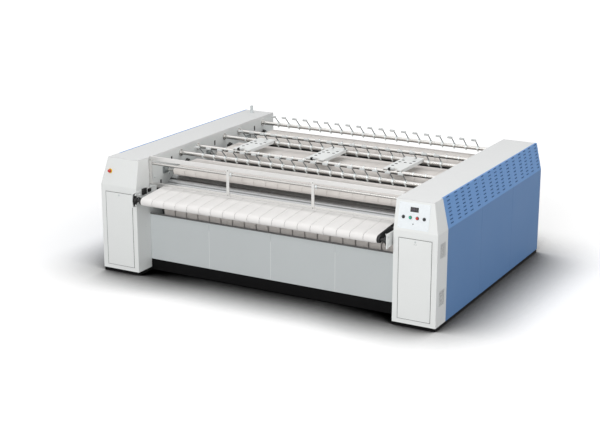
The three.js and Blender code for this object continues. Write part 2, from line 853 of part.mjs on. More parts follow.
// A two-bolt flange bearing with its bolt heads.
function flangeBearing(side) {
  const face = side * (bracketInnerX - touch);
  const inner = face - side * bearingThickness * 0.5;
  const nose = face - side * (bearingThickness + bearingNose);
  const ear = bearingHeight / 2 - bearingWidth * 0.25;
  const oval = [
    ...arc(feedNose.y, feedNose.z + ear, bearingWidth * 0.25, 0, 180, 5),
    ...arc(feedNose.y, feedNose.z, bearingWidth / 2, 150, 210, 3),
    ...arc(feedNose.y, feedNose.z - ear, bearingWidth * 0.25, 180, 360, 5),
    ...arc(feedNose.y, feedNose.z, bearingWidth / 2, 330, 390, 3),
  ];
  const flange = alongX(oval, inner, face);
  const hub = rodX(bearingNoseRadius, inner + side, nose, feedNose.y, feedNose.z, 16);
  const heads = [-1, 1].map((end) => {
    const z = feedNose.z + (end * bearingBoltSpacing) / 2;
    return rodX(boltHeadRadius, inner + side, inner - side * boltHeadHeight, feedNose.y, z, 6);
  });
  const boreRadius = holeRadius(feedShaftRadius);
  const bore = rodX(boreRadius, face + side, nose - side, feedNose.y, feedNose.z, holeSides);
  return cut(joined(flange, hub, heads), bore);
}

const feedTable = new THREE.Group();
machine.add(feedTable);
piece("feed_nose_roller", noseRoller(), castBlack, feedTable);
piece("feed_rear_roller", beltRoller(noseRadius, feedRear.y, feedRear.z), brightSteel, feedTable);
piece("feed_belt", feedBelt(), whiteBelt, feedTable);
for (const { name, side } of ends) {
  piece(`${name}_feed_bracket`, feedBracket(side), zincPlate, feedTable);
  piece(`${name}_feed_bearing`, flangeBearing(side), castBlack, feedTable);
}

// Finger guard ------------------------------------------------------------------------

// It hangs on its tube, and its bottom rail swings in when a hand meets it.
function fingerGuard() {
  const end = wallX - guardEndGap;
  const y = guardY;
  const tubeZ = guardRailZ + guardTubeRise;
  const across = (depth) => [y - depth / 2, y + depth / 2];
  const post = (x0, x1) => box(x0, x1, ...across(guardPostDepth), guardRailZ, guardTop);
  return joined(
    box(-end, end, ...across(guardRailDepth), guardTop - guardBarHeight, guardTop),
    box(-end, end, ...across(guardRailDepth), guardRailZ, guardRailZ + guardRailHeight),
    rodX(guardTubeRadius, -end, end, y, tubeZ, 16),
    rodX(guardPinRadius, -wallX + touch, wallX - touch, y, tubeZ, 12),
    post(-end, -end + guardPostWidth),
    post(end - guardPostWidth, end),
    guardPosts.map((x) => post(x - guardPostWidth / 2, x + guardPostWidth / 2)),
  );
}

piece("finger_guard", fingerGuard(), brightSteel);

// Guide rods --------------------------------------------------------------------------

function plainRod(y) {
  const end = wallX - touch;
  const profile = [
    [0, -end],
    [rodFlangeRadius, -end],
    [rodFlangeRadius, -end + rodFlangeThickness],
    [rodRadius, -end + rodFlangeThickness],
    [rodRadius, end - rodFlangeThickness],
    [rodFlangeRadius, end - rodFlangeThickness],
    [rodFlangeRadius, end],
    [0, end],
  ];
  return turnedX(profile, y, rodHeight, 12);
}

// A straight round bar between two points.
function bar(from, to, radius, sides) {
  const path = new THREE.LineCurve3(new THREE.Vector3(...from), new THREE.Vector3(...to));
  const section = new THREE.Shape(
    Array.from({ length: sides }, (_, i) => {
      const angle = (i * 2 * Math.PI) / sides;
      return new THREE.Vector2(radius * Math.cos(angle), radius * Math.sin(angle));
    }),
  );
  return solid(new THREE.ExtrudeGeometry(section, { extrudePath: path, steps: 1 }));
}

// A clamp on the rod with a bent wire finger that ends in a nylon sleeve.
function finger(x, y) {
  const tip = [x, y - fingerLean, rodHeight + fingerRise];
  const foot = [x, y, rodHeight + rodRadius / 2];
  const sleeveX = x - fingerHook;
  const clampTop = rodHeight + clampHeight;
  const half = clampWidth / 2;
  const clamp = box(x - half, x + half, y - half, y + half, rodHeight, clampTop);
  const wire = bar(foot, tip, fingerRadius, 4);
  const sleeve = rodX(sleeveRadius, sleeveX - sleeveLength / 2, x + fingerRadius, tip[1], tip[2], 6);
  return joined(clamp, wire, sleeve);
}

function fingerPlaces(rod) {
  const first = beltLeft + fingersFromBeltEdge[rod];
  const count = Math.floor((beltRight - fingersToBeltEdge[rod] - first) / fingerPitch) + 1;
  return Array.from({ length: count }, (_, i) => first + i * fingerPitch);
}

const guideRods = new THREE.Group();
machine.add(guideRods);
const combRodsY = rollAxesY.map((y, i) => y + combRodFromRoll[i]);
const plainRodsY = plainRodFromRoll.map((reach, i) => rollAxesY[i] + reach);
combRodsY.forEach((y, i) => {
  const fingers = fingerPlaces(i).map((x) => finger(x, y));
  piece(`comb_rod_${i + 1}`, joined(plainRod(y), fingers), brightSteel, guideRods);
});
plainRodsY.forEach((y, i) => {
  piece(`plain_rod_${i + 1}`, plainRod(y), brightSteel, guideRods);
});

// Perforated tie plates lie on the second and third guide rods.
function tiePlate(x) {
  const y0 = plainRodsY[0] - tiePlateOverhang;
  const y1 = combRodsY[1] + tiePlateOverhang;
  const z = rodHeight + clampHeight + touch;
  const top = z + tiePlateThickness;
  const half = tiePlateWidth / 2;
  const plate = box(x - half, x + half, y0, y1, z, top);
  const flangeY0 = plainRodsY[0] + tieFlangeFromRod;
  const flangeY1 = combRodsY[1] - tieFlangeFromRod;
  const flange = box(x + half - sheet, x + half, flangeY0, flangeY1, z - tieFlangeDrop, z + 1);
  const feet = [plainRodsY[0], combRodsY[1]].flatMap((y) => {
    const footZ = rodHeight + rodRadius + touch;
    return [x - tieFootOut, x + tieFootOut].map((footX) => {
      const [x0, x1] = [footX - tieFootWidth / 2, footX + tieFootWidth / 2];
      return box(x0, x1, y - tieFootDepth / 2, y + tieFootDepth / 2, footZ, z + 1);
    });
  });
  const notch = box(x - tieNotchWidth / 2, x + tieNotchWidth / 2, y0 - 1, y0 + tieNotchDepth, z - 1, top + 1);
  const holes = tieHoles.map(([column, row]) => {
    const holeY = y0 + tieFirstHoleRow + row * tieHoleRowPitch;
    return rodZ(tieHoleRadius, z - 1, top + 1, x + column * tieHolePitch, holeY, 12);
  });
  // the comb rod's clamps and wires come up past the feet and through the plate
  const near = fingerPlaces(1).filter((wireX) => Math.abs(wireX - x) < half + tieWireSlot);
  const wires = near.map((wireX) => {
    const [x0, x1] = [wireX - tieWireSlot / 2, wireX + tieWireSlot / 2];
    const wireY = combRodsY[1];
    return box(x0, x1, wireY - tieWireReach, wireY + tieWireSlot, z - 1, top + 1);
  });
  const clampRoom = clampWidth / 2 + 2;
  const clamps = near.map((wireX) => {
    const wireY = combRodsY[1];
    return box(wireX - clampRoom, wireX + clampRoom, wireY - clampRoom, wireY + clampRoom, rodHeight, z);
  });
  return cut(joined(plate, flange, feet), notch, holes, wires, clamps);
}

tiePlateCentres.forEach((x, i) => {
  piece(`tie_plate_${i + 1}`, tiePlate(x), zincPlate, guideRods);
});

// Controls ----------------------------------------------------------------------------

// A place on a cabinet's leaning front face: X runs along the machine, Y up the face from
// the knee and Z out of the face. The origin is half-way along the cabinet's width.
function facePlace(side) {
  const lean = Math.atan2(frontLean, cabinetHeight - kneeHeight);
  const turn = new THREE.Matrix4().makeRotationX(Math.PI / 2 - lean);
  return turn.setPosition(side * (wallX + cabinetWidth / 2), frontY, kneeHeight);
}

function onFace(side, geometry) {
  return solid(geometry.applyMatrix4(facePlace(side)));
}

// The hole in the column behind the control plate, or for the emergency stop's stem.
function controlHole(side) {
  if (side > 0) {
    const width = plateWidth - 2 * plateBorder;
    const height = plateHeight - 2 * plateBorder;
    const hole = new THREE.BoxGeometry(width, height, 4 * sheet);
    return onFace(side, hole.translate(plateX, plateY, 0));
  }
  const radius = holeRadius(stopStem);
  const hole = new THREE.CylinderGeometry(radius, radius, 6 * sheet, holeSides).rotateX(Math.PI / 2);
  return onFace(side, hole.translate(stopX, stopFromKnee, 0));
}

// A round head on a stem; the head's underside stands off its face.
function knob(side, x, y, head, height, stem, standOff) {
  const points = [
    [0, -stemLength],
    [stem, -stemLength],
    [stem, standOff],
    [head, standOff],
    [head, standOff + height * 0.7],
    [head * 0.8, standOff + height],
    [0, standOff + height],
  ].map(([radius, z]) => new THREE.Vector2(radius, z));
  const geometry = new THREE.LatheGeometry(points, 16).rotateX(Math.PI / 2);
  return onFace(side, geometry.translate(x, y, 0));
}

const pushButton = { head: buttonRadius, height: buttonHeight, gap: buttonStandOff };
const controlButtons = [
  { name: "mode_switch", material: blackPlastic, head: knobRadius, height: knobHeight, gap: touch },
  { name: "start_button", material: greenPlastic, ...pushButton },
  { name: "stop_button", material: redPlastic, ...pushButton },
  { name: "jog_button", material: blackPlastic, ...pushButton },
];
const buttonX = (i) => plateX + (i - (controlButtons.length - 1) / 2) * buttonSpacing;
const buttonY = plateFromKnee + buttonsAboveEdge;
const plateFace = touch + plateThickness;

function controlPlate() {
  const geometry = new THREE.BoxGeometry(plateWidth, plateHeight, plateThickness);
  const plate = onFace(1, geometry.translate(plateX, plateY, touch + plateThickness / 2));
  const holes = controlButtons.map((_, i) => {
    const radius = holeRadius(buttonStem);
    const hole = new THREE.CylinderGeometry(radius, radius, 6 * plateThickness, holeSides);
    return onFace(1, hole.rotateX(Math.PI / 2).translate(buttonX(i), buttonY, 0));
  });
  return cut(plate, holes);
}

piece("control_plate", controlPlate(), panelPlate);
controlButtons.forEach(({ name, material, head, height, gap }, i) => {
  piece(name, knob(1, buttonX(i), buttonY, head, height, buttonStem, plateFace + gap), material);
});
piece(
  "emergency_stop_button",
  knob(-1, stopX, stopFromKnee, stopRadius, stopHeight, stopStem, stopStandOff),
  redPlastic,
);

// Beacon stub on the left cabinet's roof ------------------------------------------------

function beaconStub() {
  const x = -wallX - beaconFromInnerWall;
  const geometry = new THREE.CylinderGeometry(beaconRadius, beaconRadius, beaconHeight, 20);
  geometry.rotateX(Math.PI / 2);
  return solid(geometry.translate(x, backY - beaconFromBack, cabinetHeight + touch + beaconHeight / 2));
}

piece("beacon_stub", beaconStub(), whitePaint);

// Drive, inside the right cabinet --------------------------------------------------------

function driveChain() {
  const front = { y: rollAxesY[0], z: rollAxisZ };
  const rear = { y: rollAxesY[rollAxesY.length - 1], z: rollAxisZ };
  const radius = sprocketRadius + touch;
  const x0 = sprocketX + chainSideGap;
  const x1 = sprocketX + sprocketWidth - chainSideGap;
  const outline = beltOutline(front, rear, radius + chainThickness);
  return alongX(outline, x0, x1, [beltOutline(front, rear, radius)]);
}

// A geared motor whose hollow shaft is the first roll's journal, held by a torque arm.
function gearMotor() {
  const x0 = sprocketX + sprocketWidth + gearboxFromSprocket;
  const x1 = x0 + gearboxThickness;
  const y = rollAxesY[0];
  const bottom = rollAxisZ - gearboxBelow;
  const middleX = (x0 + x1) / 2;
  const armX = wallX + wallThickness + touch;
  const half = torqueArmWidth / 2;
  const motorZ = bottom + motorRadius + 10;
  const motorStart = y + gearboxHalfLength;
  const housing = box(x0, x1, y - gearboxHalfLength, motorStart, bottom, rollAxisZ + gearboxAbove);
  const arm = box(armX, x0 + 1, y - half, y + half, bottom, bottom + torqueArmHeight);
  const motor = rodY(motorRadius, motorStart - 1, motorStart + motorLength, middleX, motorZ, 20);
  const bore = rodX(holeRadius(journalRadius), x0 - 1, x1 + 1, y, rollAxisZ, holeSides);
  return cut(joined(housing, arm, motor), bore);
}

piece("drive_chain", driveChain(), castBlack);
piece("gear_motor", gearMotor(), motorGrey);

// The origin is on the floor, in the middle of the machine's whole footprint, which the
// feed nose makes longer at the front than the cabinets are.
const footprint = new THREE.Box3().setFromObject(machine, true);
machine.position.y = -(footprint.min.y + footprint.max.y) / 2;

export default machine;
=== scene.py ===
from math import atan2, cos, degrees, hypot, pi, radians, sin, tau

import bmesh
import bpy
from mathutils import Matrix, Vector


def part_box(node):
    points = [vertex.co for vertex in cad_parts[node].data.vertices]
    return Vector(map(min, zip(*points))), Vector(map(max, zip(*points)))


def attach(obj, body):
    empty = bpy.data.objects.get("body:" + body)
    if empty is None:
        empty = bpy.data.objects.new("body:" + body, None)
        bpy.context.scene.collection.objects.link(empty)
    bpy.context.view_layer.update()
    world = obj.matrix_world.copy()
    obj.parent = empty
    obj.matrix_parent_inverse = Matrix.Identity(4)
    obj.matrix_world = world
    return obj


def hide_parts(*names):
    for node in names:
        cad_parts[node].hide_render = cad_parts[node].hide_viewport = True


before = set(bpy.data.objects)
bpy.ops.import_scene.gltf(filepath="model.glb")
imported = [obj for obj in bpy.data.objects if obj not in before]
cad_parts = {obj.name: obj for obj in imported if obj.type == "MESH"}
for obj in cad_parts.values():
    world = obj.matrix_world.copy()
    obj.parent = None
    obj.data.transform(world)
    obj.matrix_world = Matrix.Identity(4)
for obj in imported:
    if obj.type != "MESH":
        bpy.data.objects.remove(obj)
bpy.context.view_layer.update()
scene = bpy.context.scene
scene.view_settings.view_transform = "Standard"

# All measures below are millimetres. X and Y start from the middle of the cabinets.
shell = {"wall": 1745, "outer": 2280, "front": -1683, "back": 1683, "knee": 1125, "columnMiddle": 2012.5,
         "faceLean": atan2(65, 345), "sideLean": atan2(75, 345)}
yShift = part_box("left_rear_panel")[1][1] * 1000 - shell["back"]
ends = {"left": -1, "right": 1}
bothSides = (-1, 1)
rollAxes = [-872, 138, 1148]
rollZ = 800.7
beltEdges = tuple(corner[0] * 1000 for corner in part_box("feed_belt"))
beltPitch = 168
rodZ = 1380
combRods = [-688, 361, 1377]
plainRods = [-286, 741]
quarter = pi / 2  # of a turn
print("frame loaded")


def inFrame(x, y, z):
    return Vector((x, y + yShift, z)) / 1000


def axisOf(node):
    low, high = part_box(node)
    return ((low[1] + high[1]) * 500 - yShift, (low[2] + high[2]) * 500)


# Places for a shape: its own Z turned along X, to the front, or out of the control face
def alongX(y=0, z=0, x=0):
    return Matrix(((0, 0, 1, x), (1, 0, 0, y), (0, 1, 0, z), (0, 0, 0, 1)))


def toFront(x, y, z):
    return Matrix(((1, 0, 0, x), (0, 0, -1, y), (0, 1, 0, z), (0, 0, 0, 1)))


def upright(x=0, y=0, z=0):
    return Matrix.Translation((x, y, z))


def onControlFace(side, x=0, y=0, z=0):
    knee = upright(side * shell["columnMiddle"], shell["front"], shell["knee"])
    return knee @ Matrix.Rotation(quarter - shell["faceLean"], 4, "X") @ upright(x, y, z)


def span(side, a, b):
    return tuple(sorted((side * a, side * b)))


# Four strips round the inside of a rectangle
def borders(a, b, width):
    between = (b[0] + width, b[1] - width)
    return ((a, (b[0], b[0] + width)), (a, (b[1] - width, b[1])),
            ((a[0], a[0] + width), between), ((a[1] - width, a[1]), between))


def mirrored(half):
    return half + [(radius, -height) for radius, height in half[::-1]]


def arc(center, radius, start, stop, steps):
    turns = [radians(start + (stop - start) * i / steps) for i in range(steps + 1)]
    return [(center[0] + radius * cos(t), center[1] + radius * sin(t)) for t in turns]


def roundLoop(front, rear, radius, steps):
    tilt = degrees(atan2(rear[1] - front[1], rear[0] - front[0]))
    return arc(front, radius, 90 + tilt, 270 + tilt, steps) + arc(rear, radius, tilt - 90, tilt + 90, steps)


# Teeth or fins round a circle, from (part of the pitch, radius) pairs
def toothed(count, corners):
    turns = [(tau * (n + part) / count, radius) for n in range(count) for part, radius in corners]
    return [(radius * cos(a), radius * sin(a)) for a, radius in turns]


class Shape:
    def __init__(self):
        self.mesh = bmesh.new()

    def weave(self, points, faces, at):
        corners = [self.mesh.verts.new(at @ Vector(point)) for point in points]
        for face in faces:
            self.mesh.faces.new([corners[i] for i in face])
        return self

    def box(self, x, y, z, at=Matrix()):
        points = [(x[i], y[j], z[k]) for i in (0, 1) for j in (0, 1) for k in (0, 1)]
        quads = [(0, 1, 3, 2), (4, 6, 7, 5), (0, 4, 5, 1), (2, 3, 7, 6), (0, 2, 6, 4), (1, 5, 7, 3)]
        return self.weave(points, quads, at)

    def prism(self, outline, low, high, at=Matrix()):
        count = len(outline)
        points = [(x, y, low) for x, y in outline] + [(x, y, high) for x, y in outline]
        walls = [(i, (i + 1) % count, count + (i + 1) % count, count + i) for i in range(count)]
        caps = [tuple(range(count))[::-1], tuple(range(count, 2 * count))]
        return self.weave(points, walls + caps, at)

    # profile holds (radius, height) pairs; a closed one makes a ring
    def lathe(self, profile, sides, at=Matrix(), closed=False):
        rings, points = [], []
        for radius, height in profile:
            count = 1 if radius < 1e-6 else sides
            rings.append(range(len(points), len(points) + count))
            for i in range(count):
                turn = tau * i / sides
                points.append((radius * cos(turn), radius * sin(turn), height))
        faces = []
        pairs = list(zip(rings, rings[1:])) + ([(rings[-1], rings[0])] if closed else [])
        for low, high in pairs:
            for i in range(sides):
                j = (i + 1) % sides
                corners = [low[i % len(low)], low[j % len(low)], high[j % len(high)], high[i % len(high)]]
                corners = [c for n, c in enumerate(corners) if c not in corners[:n]]
                if len(corners) > 2:
                    faces.append(corners)
        if not closed:
            faces += [list(ring) for ring in (rings[0], rings[-1]) if len(ring) > 1]
        return self.weave(points, faces, at)

    def rod(self, radius, low, high, sides, at=Matrix(), chamfer=0):
        profile = [(0, low), (radius, low), (radius, high), (0, high)]
        if chamfer:
            profile = [(0, low), (radius - chamfer, low), (radius, low + chamfer), (radius, high - chamfer),
                       (radius - chamfer, high), (0, high)]
        return self.lathe(profile, sides, at)

    def ring(self, inner, outer, low, high, sides, at=Matrix()):
        return self.lathe([(inner, low), (outer, low), (outer, high), (inner, high)], sides, at, True)

    # a round wire through some points
    def wire(self, path, radius, sides):
        path = [Vector(point) for point in path]
        ways = [(path[min(i + 1, len(path) - 1)] - path[max(i - 1, 0)]).normalized() for i in range(len(path))]
        side = ways[0].orthogonal().normalized()
        points = []
        for i, (point, way) in enumerate(zip(path, ways)):
            if i:
                side = ways[i - 1].rotation_difference(way) @ side
            other = way.cross(side)
            for n in range(sides):
                turn = tau * n / sides
                points.append(point + radius * (cos(turn) * side + sin(turn) * other))
        faces = []
        for i in range(len(path) - 1):
            for n in range(sides):
                a, b = i * sides + n, i * sides + (n + 1) % sides
                faces.append((a, b, b + sides, a + sides))
        last = len(points) - sides
        faces += [tuple(range(sides))[::-1], tuple(range(last, last + sides))]
        return self.weave(points, faces, Matrix())

    def seated(self, name, materials=(), sharp=32, shift=yShift):
        bmesh.ops.recalc_face_normals(self.mesh, faces=self.mesh.faces)
        move = Matrix.Scale(0.001, 4) @ upright(0, shift, 0)
        bmesh.ops.transform(self.mesh, matrix=move, verts=self.mesh.verts)
        data = bpy.data.meshes.new(name)
        self.mesh.to_mesh(data)
        self.mesh.free()
        return linked(name, data, materials, sharp)

    # a small part at zero, for a recipe to copy
    def template(self, name):
        return self.seated(name, shift=0)

    def piece(self, name, finish, body="frame", *stoodFor, slot=None, bevel=0, sharp=32):
        made = rounded(self.seated(name, [finish], sharp), bevel)
        return settle(made, body, slot or slotOf[finish.name], *stoodFor)


def added(name, data):
    made = bpy.data.objects.new(name, data)
    scene.collection.objects.link(made)
    return made


def smoothed(data, sharp=32):
    data.shade_smooth()
    data.set_sharp_from_angle(angle=radians(sharp))
    return data


def linked(name, data, materials=(), sharp=32):
    for material in materials:
        data.materials.append(material)
    return added(name, smoothed(data, sharp))


def rounded(made, width):
    if width:
        bevel = made.modifiers.new("Edges", "BEVEL")
        bevel.width = width / 1000
        bevel.segments = 2
        bevel.limit_method = "ANGLE"
        bevel.angle_limit = radians(30)
        bevel.harden_normals = True
    return made


def settle(made, body, slotName, *stoodFor):
    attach(made, body)
    if stoodFor:
        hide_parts(*stoodFor)
    return made


# Merges a mesh's doubles and joins its flat faces
def joined(data, distance):
    mesh = bmesh.new()
    mesh.from_mesh(data)
    bmesh.ops.remove_doubles(mesh, verts=mesh.verts, dist=distance)
    bmesh.ops.dissolve_limit(mesh, angle_limit=radians(0.6), verts=mesh.verts, edges=mesh.edges,
                             use_dissolve_boundaries=False)
    mesh.to_mesh(data)
    mesh.free()
    return data


def copyOf(node, name, materials):
    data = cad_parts[node].data.copy()
    data.materials.clear()
    return linked(name, joined(data, 2e-5), materials)


def evaluatedMesh(made):
    graph = bpy.context.evaluated_depsgraph_get()
    return bpy.data.meshes.new_from_object(made.evaluated_get(graph), preserve_all_data_layers=True,
                                           depsgraph=graph)


def carved(made, cutters):
    for cutter in cutters:
        knife = made.modifiers.new("Cut", "BOOLEAN")
        knife.operation = "DIFFERENCE"
        knife.solver = "EXACT"
        knife.object = cutter
    data = evaluatedMesh(made)
    made.modifiers.clear()
    made.data = smoothed(joined(data, 1e-6))
    for cutter in cutters:
        bpy.data.objects.remove(cutter)
    return made


def dressed(node, finish, bevel=1.2, cutters=(), body="frame"):
    skin = copyOf(node, node + "_skin", [finish])
    if cutters:
        carved(skin, cutters)
    return settle(rounded(skin, bevel), body, slotOf[finish.name], node)


class Value:
    def __init__(self, nodes, socket):
        self.nodes = nodes
        self.socket = socket

    def sum(self, operation, *terms):
        return self.nodes.node("ShaderNodeMath", {"operation": operation}, dict(enumerate(terms)))

    def kept(self):
        return self.nodes.node("ShaderNodeClamp", {}, {0: self})

    def wave(self):
        return self.sum("SINE", self)


for sign, operation in {"add": "ADD", "sub": "SUBTRACT", "mul": "MULTIPLY", "truediv": "DIVIDE"}.items():
    setattr(Value, f"__{sign}__", lambda self, other, kind=operation: self.sum(kind, self, other))
    setattr(Value, f"__r{sign}__", lambda self, other, kind=operation: self.sum(kind, other, self))


class Nodes:
    def __init__(self, tree):
        self.tree = tree

    def node(self, kind, settings=None, inputs=None, out=0):
        made = self.tree.nodes.new(kind)
        for key, setting in (settings or {}).items():
            setattr(made, key, setting)
        for key, given in (inputs or {}).items():
            if isinstance(given, Value):
                self.tree.links.new(given.socket, made.inputs[key])
            else:
                made.inputs[key].default_value = given
        return Value(self, made.outputs[out])

    def shade(self, factor, low, high):
        return self.node("ShaderNodeMix", {"data_type": "RGBA"}, {0: factor, 6: low, 7: high}, 2)


def linear(color):
    def channel(c):
        c = c / 255
        return c / 12.92 if c <= 0.04045 else ((c + 0.055) / 1.055) ** 2.4
    return tuple(channel(c) for c in color) + (1.0,)


# A finish starts from a plain colour and gets its detail from patterns in metres.
class Finish(Nodes):
    def __init__(self, name, color, roughness, metallic=0.0, **fixed):
        self.material = bpy.data.materials.new(name)
        self.material.use_nodes = True
        super().__init__(self.material.node_tree)
        self.shader = self.tree.nodes["Principled BSDF"]
        self.color = linear(color)
        fixed = {"Base_Color": self.color, "Roughness": roughness, "Metallic": metallic, **fixed}
        for key, given in fixed.items():
            self.shader.inputs[key.replace("_", " ")].default_value = given
        self.place = self.node("ShaderNodeTexCoord", {}, {}, 3)
        self.material.diffuse_color = self.color

    def tone(self, factor):
        return tuple(min(1.0, c * factor) for c in self.color[:3]) + (1.0,)

    def stretched(self, x, y, z):
        return self.node("ShaderNodeMapping", {}, {"Vector": self.place, "Scale": (x, y, z)})

    def cloud(self, scale, detail=2.0, roughness=0.5, at=None):
        return self.node("ShaderNodeTexNoise", {}, {"Vector": at or self.place, "Scale": scale,
                                                    "Detail": detail, "Roughness": roughness})

    def coordinate(self, axis):
        return self.node("ShaderNodeSeparateXYZ", {}, {0: self.place}, axis)

    # links the patterns to the shader; depth is the bump's, in millimetres
    def done(self, tint, roughness, height, depth, strength):
        bump = self.node("ShaderNodeBump", {}, {"Height": height, "Distance": depth / 1000, "Strength": strength})
        for key, value in (("Base Color", tint), ("Roughness", roughness), ("Normal", bump)):
            self.tree.links.new(value.socket, self.shader.inputs[key])
        return self.material


def paint(name, color, roughness, grime=0.0, shadeBelow=None, gloss=0.5):
    finish = Finish(name, color, roughness, Specular_IOR_Level=gloss)
    broad = finish.cloud(1.7, 3)
    spots = finish.cloud(9, 6, 0.68)
    tint = finish.shade(broad, finish.tone(0.975), finish.tone(1.02))
    # Painted shade: below the given height the colour darkens towards a shaded tone
    if shadeBelow:
        low, high, shadedTone = shadeBelow
        height = ((finish.coordinate(2) - low / 1000) / ((high - low) / 1000)).kept()
        tint = finish.shade(1 - height, tint, finish.tone(shadedTone))
    worn = ((spots - 0.56) * 3).kept() * (0.1 + grime)
    return finish.done(finish.shade(worn, tint, finish.tone(0.72)),
                       roughness + (broad - 0.5) * 0.12 + worn * 0.5, finish.cloud(620, 2), 0.05, 0.35)


def steel(name, color, roughness, streaks, bump=0.02, cloudy=0.06, under=None, crisp=1.0):
    finish = Finish(name, color, roughness, 1.0)
    lines = ((finish.cloud(1.0, 3, 0.6, finish.stretched(*streaks)) - 0.5) * crisp + 0.5).kept()
    broad = finish.cloud(3, 3)
    tint = finish.shade(lines, finish.tone(1 - 2 * cloudy), finish.tone(1 + cloudy))
    if under:  # painted shade: faces that point downwards are darkened
        normal = finish.node("ShaderNodeNewGeometry", {}, {}, 1)
        facing = finish.node("ShaderNodeSeparateXYZ", {}, {0: normal}, 2)
        tint = finish.shade(((-0.12 - facing) * 1.8).kept(), tint, finish.tone(under))
    return finish.done(tint, roughness + (lines - 0.5) * 0.22 + (broad - 0.5) * 0.1, lines, bump, 0.5)


def galvanized(name, color, roughness=0.38):
    finish = Finish(name, color, roughness, 0.75)
    grains = finish.node("ShaderNodeTexVoronoi", {}, {"Vector": finish.place, "Scale": 90.0}, 1)
    broad = finish.cloud(14, 4)
    spangle = finish.node("ShaderNodeSeparateColor", {}, {0: grains})
    return finish.done(finish.shade(spangle, finish.tone(0.93), finish.tone(1.03)),
                       roughness + (broad - 0.5) * 0.25, finish.cloud(500, 2), 0.02, 0.3)


def plastic(name, color, roughness, grain=900, **fixed):
    finish = Finish(name, color, roughness, **fixed)
    broad = finish.cloud(40, 3)
    return finish.done(finish.shade(broad, finish.tone(0.94), finish.tone(1.05)),
                       roughness + (broad - 0.5) * 0.15, finish.cloud(grain, 2), 0.02, 0.3)


def castIron(name, color, roughness=0.5):
    finish = Finish(name, color, roughness)
    grains = finish.cloud(260, 4, 0.6)
    chips = ((finish.cloud(45, 5, 0.7) - 0.62) * 6).kept()
    tint = finish.shade(chips, finish.color, finish.tone(2.4))
    return finish.done(tint, roughness + (grains - 0.5) * 0.2, grains, 0.25, 0.6)


# Needled felt: short fibres both ways, pressed flat and a little uneven in colour
def felt(name, color):
    finish = Finish(name, color, 0.92, Sheen_Weight=0.25, Sheen_Roughness=0.5)
    broad = finish.cloud(4, 4, 0.6)
    across = finish.cloud(1.0, 4, 0.7, finish.stretched(700, 160, 160))
    back = finish.cloud(1.0, 4, 0.7, finish.stretched(160, 700, 700))
    fibres = (across + back) / 2
    tint = finish.shade(broad, finish.tone(0.95), finish.tone(1.03))
    tint = finish.shade(fibres, finish.tone(0.86), tint)
    return finish.done(tint, 0.88 + (fibres - 0.5) * 0.2, fibres, 0.35, 0.7)


# A plain weave that follows the belt, from its own running length
def wovenBelt(name, color, thread=1.6):
    finish = Finish(name, color, 0.8, Sheen_Weight=0.15)
    along = finish.node("ShaderNodeAttribute", {"attribute_name": "along"}, {}, 2)
    turns = tau * 1000 / thread
    weave = ((finish.coordinate(0) * turns).wave() * (along * turns).wave() + 1) / 2
    broad = finish.cloud(5, 4, 0.6)
    stain = ((finish.cloud(2.2, 5, 0.65) - 0.54) * 3).kept() * 0.25
    tint = finish.shade(weave, finish.tone(0.95), finish.tone(1.02))
    tint = finish.shade(broad, tint, finish.tone(1.02))
    tint = finish.shade(stain, tint, finish.tone(0.88))
    return finish.done(tint, 0.76 + (weave - 0.5) * 0.12, weave, 0.18, 0.6)


whitePaint = paint("White powder coat", (233, 235, 234), 0.42, gloss=0.35)
coverPaint = paint("Roof powder coat", (229, 230, 230), 0.5, gloss=0.15)
wallPaint = paint("Inner wall paint", (226, 229, 228), 0.5, 0.05)
platePaint = paint("Plate enamel", (233, 235, 234), 0.4, 0.03)
apronPaint = paint("Apron paint", (198, 203, 204), 0.45, 0.05)
# The blue's lower vertical panels, below the knee, get a painted shade
bluePaint = paint("Blue powder coat", (108, 155, 212), 0.46, 0.02, (1118, 1132, 0.74), 0.22)
# A darker blue that is painted shade, for the sheet behind the louvre slots
slotShadeBlue = paint("Shaded blue", (62, 102, 152), 0.5, 0.05, gloss=0.2)
blackPaint = paint("Plinth black", (9, 9, 10), 0.6, 0.1, gloss=0.1)
# The polished roll's strong light and dark streaks along its length are partly polishing marks and partly painted
# reflections
rollSteel = steel("Polished roll", (172, 173, 174), 0.3, (0.12, 70, 70), 0.9, 0.32, crisp=3.2)
# The bars and rails get a painted shade on their downward-facing sides
rodSteel = steel("Bright drawn bar", (202, 200, 197), 0.24, (2, 160, 160), under=0.3)
railSteel = steel("Brushed rail", (222, 221, 219), 0.34, (2, 160, 160), under=0.4)
chainSteel = steel("Oiled chain", (84, 80, 76), 0.42, (60, 60, 60), 0.05)
zinc = galvanized("Zinc plate", (218, 222, 222))
wireZinc = galvanized("Dull zinc wire", (122, 127, 129), 0.45)
blackIron = castIron("Black casting", (14, 14, 15))
greyIron = castIron("Grey casting", (128, 133, 133))
motorPaint = castIron("Motor enamel", (78, 93, 104), 0.45)
feltCloth = felt("Needle felt", (234, 228, 223))
beltCloth = wovenBelt("Feed belt weave", (235, 233, 231))
panelFilm = plastic("Control plate film", (236, 241, 244), 0.34, 1400)
blackPlastic = plastic("Black plastic", (24, 26, 29), 0.4)
greenPlastic = plastic("Green button", (44, 172, 138), 0.3)
redPlastic = plastic("Red button", (198, 52, 46), 0.3)
yellowPlastic = plastic("Yellow collar", (240, 196, 20), 0.38)
nylon = plastic("White nylon", (202, 205, 205), 0.45)
edgeRubber = plastic("Grey edge rubber", (92, 92, 92), 0.6, 300)
beaconShell = plastic("Milky shell", (206, 211, 212), 0.3)
rubber = plastic("Black rubber", (18, 18, 18), 0.75, 300)
displayGlass = plastic("Display glass", (16, 18, 20), 0.08, 40, Coat_Weight=1.0, Coat_Roughness=0.03)
lampDigits = Finish("Display digits", (104, 88, 112), 0.3, Emission_Strength=0.1,
                    Emission_Color=linear((120, 90, 130))).material

